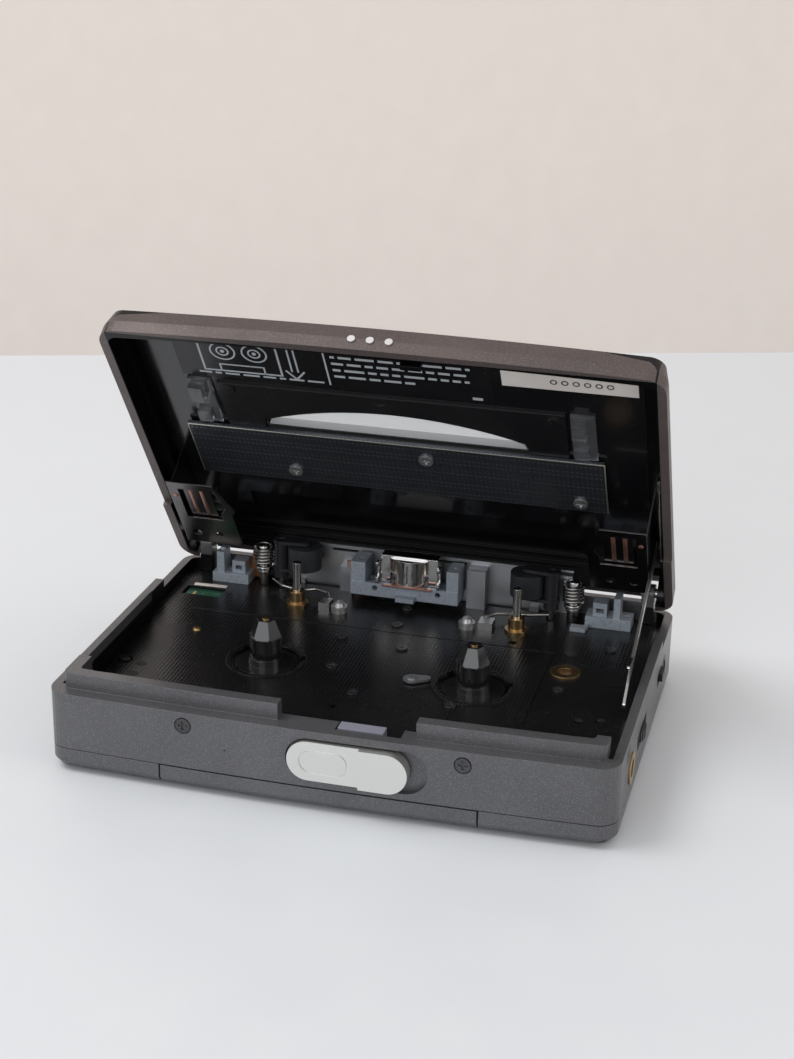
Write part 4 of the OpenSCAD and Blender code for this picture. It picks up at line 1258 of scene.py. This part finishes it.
@dataclass
class Flexes:
    """The thin amber circuits behind the head and beside the left guide.

    Args:
        thick: thickness of a strip.
        head: the strip behind the head.
        guide: the strip beside the guide.
    """

    thick: float = 0.12
    head: Strip = Strip(
        (-14.4, 33.3, 12.0), 3.6, ((0, 0.1, 2.2), (-0.8, 0.3, 2.0), (-0.9, 0.2, 1.6), (-0.2, 0.6, 0.8))
    )
    guide: Strip = Strip((-39.0, 34.9, 12.0), 4.2, ((0.2, 0.1, 2.2), (0.6, 0.2, 2.4), (0.2, 0.3, 1.6)))

    def build(self) -> None:
        """Folds both strips."""
        strips = Piece("flex_circuits", "player", FINISHES.amber)
        for strip in (self.head, self.guide):
            strips.add(Stock.ribbon(strip.start, (strip.wide, 0, 0), strip.path, self.thick))
        strips.place()


@dataclass
class DeckDetail:
    """Small things on the deck: the light bar by its slot, the board in the slot, and dark discs of
    painted shade in its blind holes.

    Args:
        bar_at: x and y of the bar's middle.
        bar_turn: angle of the bar.
        bar_half: half length and half width of the bar.
        bar_high: height of the bar.
        bar_sunk: how far the bar reaches into the deck.
        bar_soft: rounding of the bar.
        board_low: lowest x and y of the board.
        board_high: highest x and y of the board.
        board_z: depth of the board's lower and upper face below the deck.
        board_soft: rounding of the board.
        holes: x, y and radius of each blind hole.
        hole_thick: thickness of the dark disc in a hole, painted shade standing in for the hole's depth.
        hole_sunk: how far that disc reaches into the deck.
    """

    bar_at: Spot = (-45.2, 27.5)
    bar_turn: float = 3.0
    bar_half: Spot = (3.7, 0.6)
    bar_high: float = 0.3
    bar_sunk: float = 0.02
    bar_soft: float = 0.2
    board_low: Spot = (-49.6, 22.6)
    board_high: Spot = (-41.8, 26.4)
    board_z: Span = (0.9, 0.5)
    board_soft: float = 0.05
    holes: tuple[Point, ...] = (
        (-44.9, -13.1, 0.9),
        (-45.0, -17.7, 1.1),
        (43.1, -12.4, 0.8),
        (47.1, -11.2, 0.8),
        (-48.8, -12.0, 0.9),
    )
    hole_thick: float = 0.09
    hole_sunk: float = 0.05

    def build(self) -> None:
        """Builds the deck's extras."""
        bar = Piece("slot_bar", "player", FINISHES.paper)
        turn = Matrix.Rotation(math.radians(self.bar_turn), 4, "Z")
        long, wide = self.bar_half
        low, high = (-long, -wide, DECK_TOP - self.bar_sunk), (long, wide, DECK_TOP + self.bar_high)
        place = Matrix.Translation((*self.bar_at, 0)) @ turn
        bar.add(Stock.block(low, high, self.bar_soft), place)
        bar.place()
        board = Piece("slot_board", "player", FINISHES.board)
        deep, shallow = self.board_z
        low, high = (*self.board_low, DECK_TOP - deep), (*self.board_high, DECK_TOP - shallow)
        board.add(Stock.block(low, high, self.board_soft))
        board.place()
        # Painted shade: a dark disc flush in each blind hole stands in for the shade inside it.
        holes = Piece("hole_shade_discs", "player", FINISHES.shade_in_holes)
        for x, y, radius in self.holes:
            foot = (x, y, DECK_TOP - self.hole_sunk)
            holes.add(Stock.rod(foot, radius, self.hole_thick, sides=24))
        holes.place()


@dataclass
class FrontMarks:
    """The raised arrow on the battery door's face.

    Args:
        tip: x of the arrow's tip.
        end: x of the stem's end.
        height: height of the arrow's middle.
        face: y of the face that it stands on.
        proud: how far it stands out.
        sunk: how far it reaches in.
        half: half width of its lines.
        soft: rounding of its lines.
        barb: length of a barb.
        turn: angle between a barb and the stem.
    """

    tip: float = -18.6
    end: float = -12.4
    height: float = 9.3
    face: float = -38.55
    proud: float = 0.08
    sunk: float = 0.35
    half: float = 0.2
    soft: float = 0.06
    barb: float = 2.0
    turn: float = 35.0

    def build(self) -> None:
        """Raises the arrow from the front."""
        mark = Piece("door_arrow", "player", FINISHES.case)
        near, far = self.face - self.proud, self.face + self.sunk
        low, high = self.height - self.half, self.height + self.half
        mark.add(Stock.block((self.tip, near, low), (self.end, far, high), self.soft))
        for side in (-1, 1):
            turn = Matrix.Rotation(side * math.radians(self.turn), 4, "Y")
            barb = Stock.block((0.0, near, -self.half), (self.barb, far, self.half), self.soft)
            mark.add(barb, Matrix.Translation((self.tip, 0, self.height)) @ turn)
        mark.place()


@dataclass(frozen=True)
class Lamp:
    """One round area lamp.

    Args:
        name: name of the lamp.
        at: where it hangs, in metres.
        size: its diameter, in metres.
        power: its power.
        tint: its colour.
    """

    name: str
    at: Point
    size: float
    power: float
    tint: Colour


@dataclass(frozen=True)
class Slab:
    """One block of the room.

    Args:
        low: lowest corner, from the table's back edge, in metres.
        high: highest corner.
        finish: its surface.
    """

    low: Point
    high: Point
    finish: Finish


@dataclass
class Studio:
    """Table, wall, light and camera. Everything here is in metres.

    Args:
        edge: where the table's back edge is.
        edge_turn: angle of that edge.
        table: the table.
        wall: the wall behind it.
        lamps: the lamps.
        slab_soft: rounding of the table and the wall.
        aim: what the lamps point at.
        sky: colour of the soft light.
        sky_power: strength of the soft light.
        at: where the camera stands.
        right: its right-hand direction.
        up: its upward direction.
        back: the direction behind it.
        lens: focal length in millimetres.
        sensor: width of the camera's sensor in millimetres.
        clip: nearest and farthest distance it sees.
    """

    edge: Point = (-0.0637, 0.2541, 0.0)
    edge_turn: float = 18.84
    table: Slab = Slab((-1.6, -1.8, -0.02), (1.6, 0.0, -0.0006), FINISHES.table)
    wall: Slab = Slab((-2.4, 0.65, -1.2), (2.4, 0.68, 1.8), FINISHES.wall)
    lamps: tuple[Lamp, ...] = (
        Lamp("lamp_key", (-0.55, -0.2, 0.95), 0.6, 4.4, (1.0, 0.98, 0.96)),
        Lamp("lamp_front", (-0.25, -1.2, 0.5), 0.9, 3.6, (0.93, 0.96, 1.0)),
        Lamp("lamp_side", (0.9, -0.15, 0.35), 0.5, 1.0, (1.0, 0.88, 0.76)),
    )
    slab_soft: float = 0.002
    aim: Point = (0.0, 0.0, 0.02)
    sky: Colour = (0.97, 0.96, 0.95)
    sky_power: float = 0.68
    at: Point = (0.0911630, -0.3353549, 0.1788835)
    right: Point = (0.9659040, 0.2584094, 0.0159371)
    up: Point = (-0.1097572, 0.3529531, 0.9291811)
    back: Point = (0.2344841, -0.8992489, 0.3692811)
    lens: float = 65.416
    sensor: float = 36.0
    clip: Span = (0.01, 20.0)

    def build(self) -> None:
        """Sets up everything round the player."""
        for name, slab in (("table", self.table), ("wall", self.wall)):
            self._stand(name, slab)
        for lamp in self.lamps:
            self._hang(lamp)
        self._sky()
        self._camera()

    def _stand(self, name: str, slab: Slab) -> None:
        """Stands one block of the room.

        Args:
            name: name of the object.
            slab: the block.
        """
        shape = Stock.block(slab.low, slab.high, self.slab_soft)
        place = Matrix.Translation(self.edge) @ Matrix.Rotation(math.radians(self.edge_turn), 4, "Z")
        bmesh.ops.transform(shape, matrix=place, verts=shape.verts[:])
        mesh = bpy.data.meshes.new(name)
        shape.to_mesh(mesh)
        shape.free()
        mesh.materials.append(slab.finish.material())
        thing = bpy.data.objects.new(name, mesh)
        bpy.context.scene.collection.objects.link(thing)

    def _hang(self, lamp: Lamp) -> None:
        """Hangs one lamp and points it at the player.

        Args:
            lamp: the lamp.
        """
        light = bpy.data.lights.new(lamp.name, "AREA")
        light.shape = "DISK"
        light.size = lamp.size
        light.energy = lamp.power
        light.color = lamp.tint
        thing = bpy.data.objects.new(lamp.name, light)
        thing.location = lamp.at
        thing.rotation_euler = (Vector(self.aim) - Vector(lamp.at)).to_track_quat("-Z", "Y").to_euler()
        bpy.context.scene.collection.objects.link(thing)

    def _sky(self) -> None:
        """Fills the room with soft light."""
        world = bpy.data.worlds.new("room")
        world.use_nodes = True
        background = world.node_tree.nodes["Background"]
        background.inputs["Color"].default_value = (*self.sky, 1.0)
        background.inputs["Strength"].default_value = self.sky_power
        bpy.context.scene.world = world
        bpy.context.scene.view_settings.view_transform = "Standard"

    def _camera(self) -> None:
        """Puts the camera where it looks down at the open player."""
        camera = bpy.data.cameras.new("camera")
        camera.lens = self.lens
        camera.sensor_width = self.sensor
        camera.clip_start, camera.clip_end = self.clip
        thing = bpy.data.objects.new("camera", camera)
        turn = Matrix((self.right, self.up, self.back)).transposed().to_4x4()
        thing.matrix_world = Matrix.Translation(self.at) @ turn
        bpy.context.scene.collection.objects.link(thing)
        bpy.context.scene.camera = thing


def main() -> None:
    """Builds the looks of the player round its frame."""
    logging.basicConfig(level=logging.INFO, format="%(message)s")
    for part in (
        FramePaint(),
        LidPrint(),
        PlateTrim(),
        Springs(),
        HeadTrim(),
        Flexes(),
        DeckDetail(),
        FrontMarks(),
        Studio(),
    ):
        LOG.info("building %s", type(part).__name__)
        part.build()


if __name__ == "__main__":
    main()
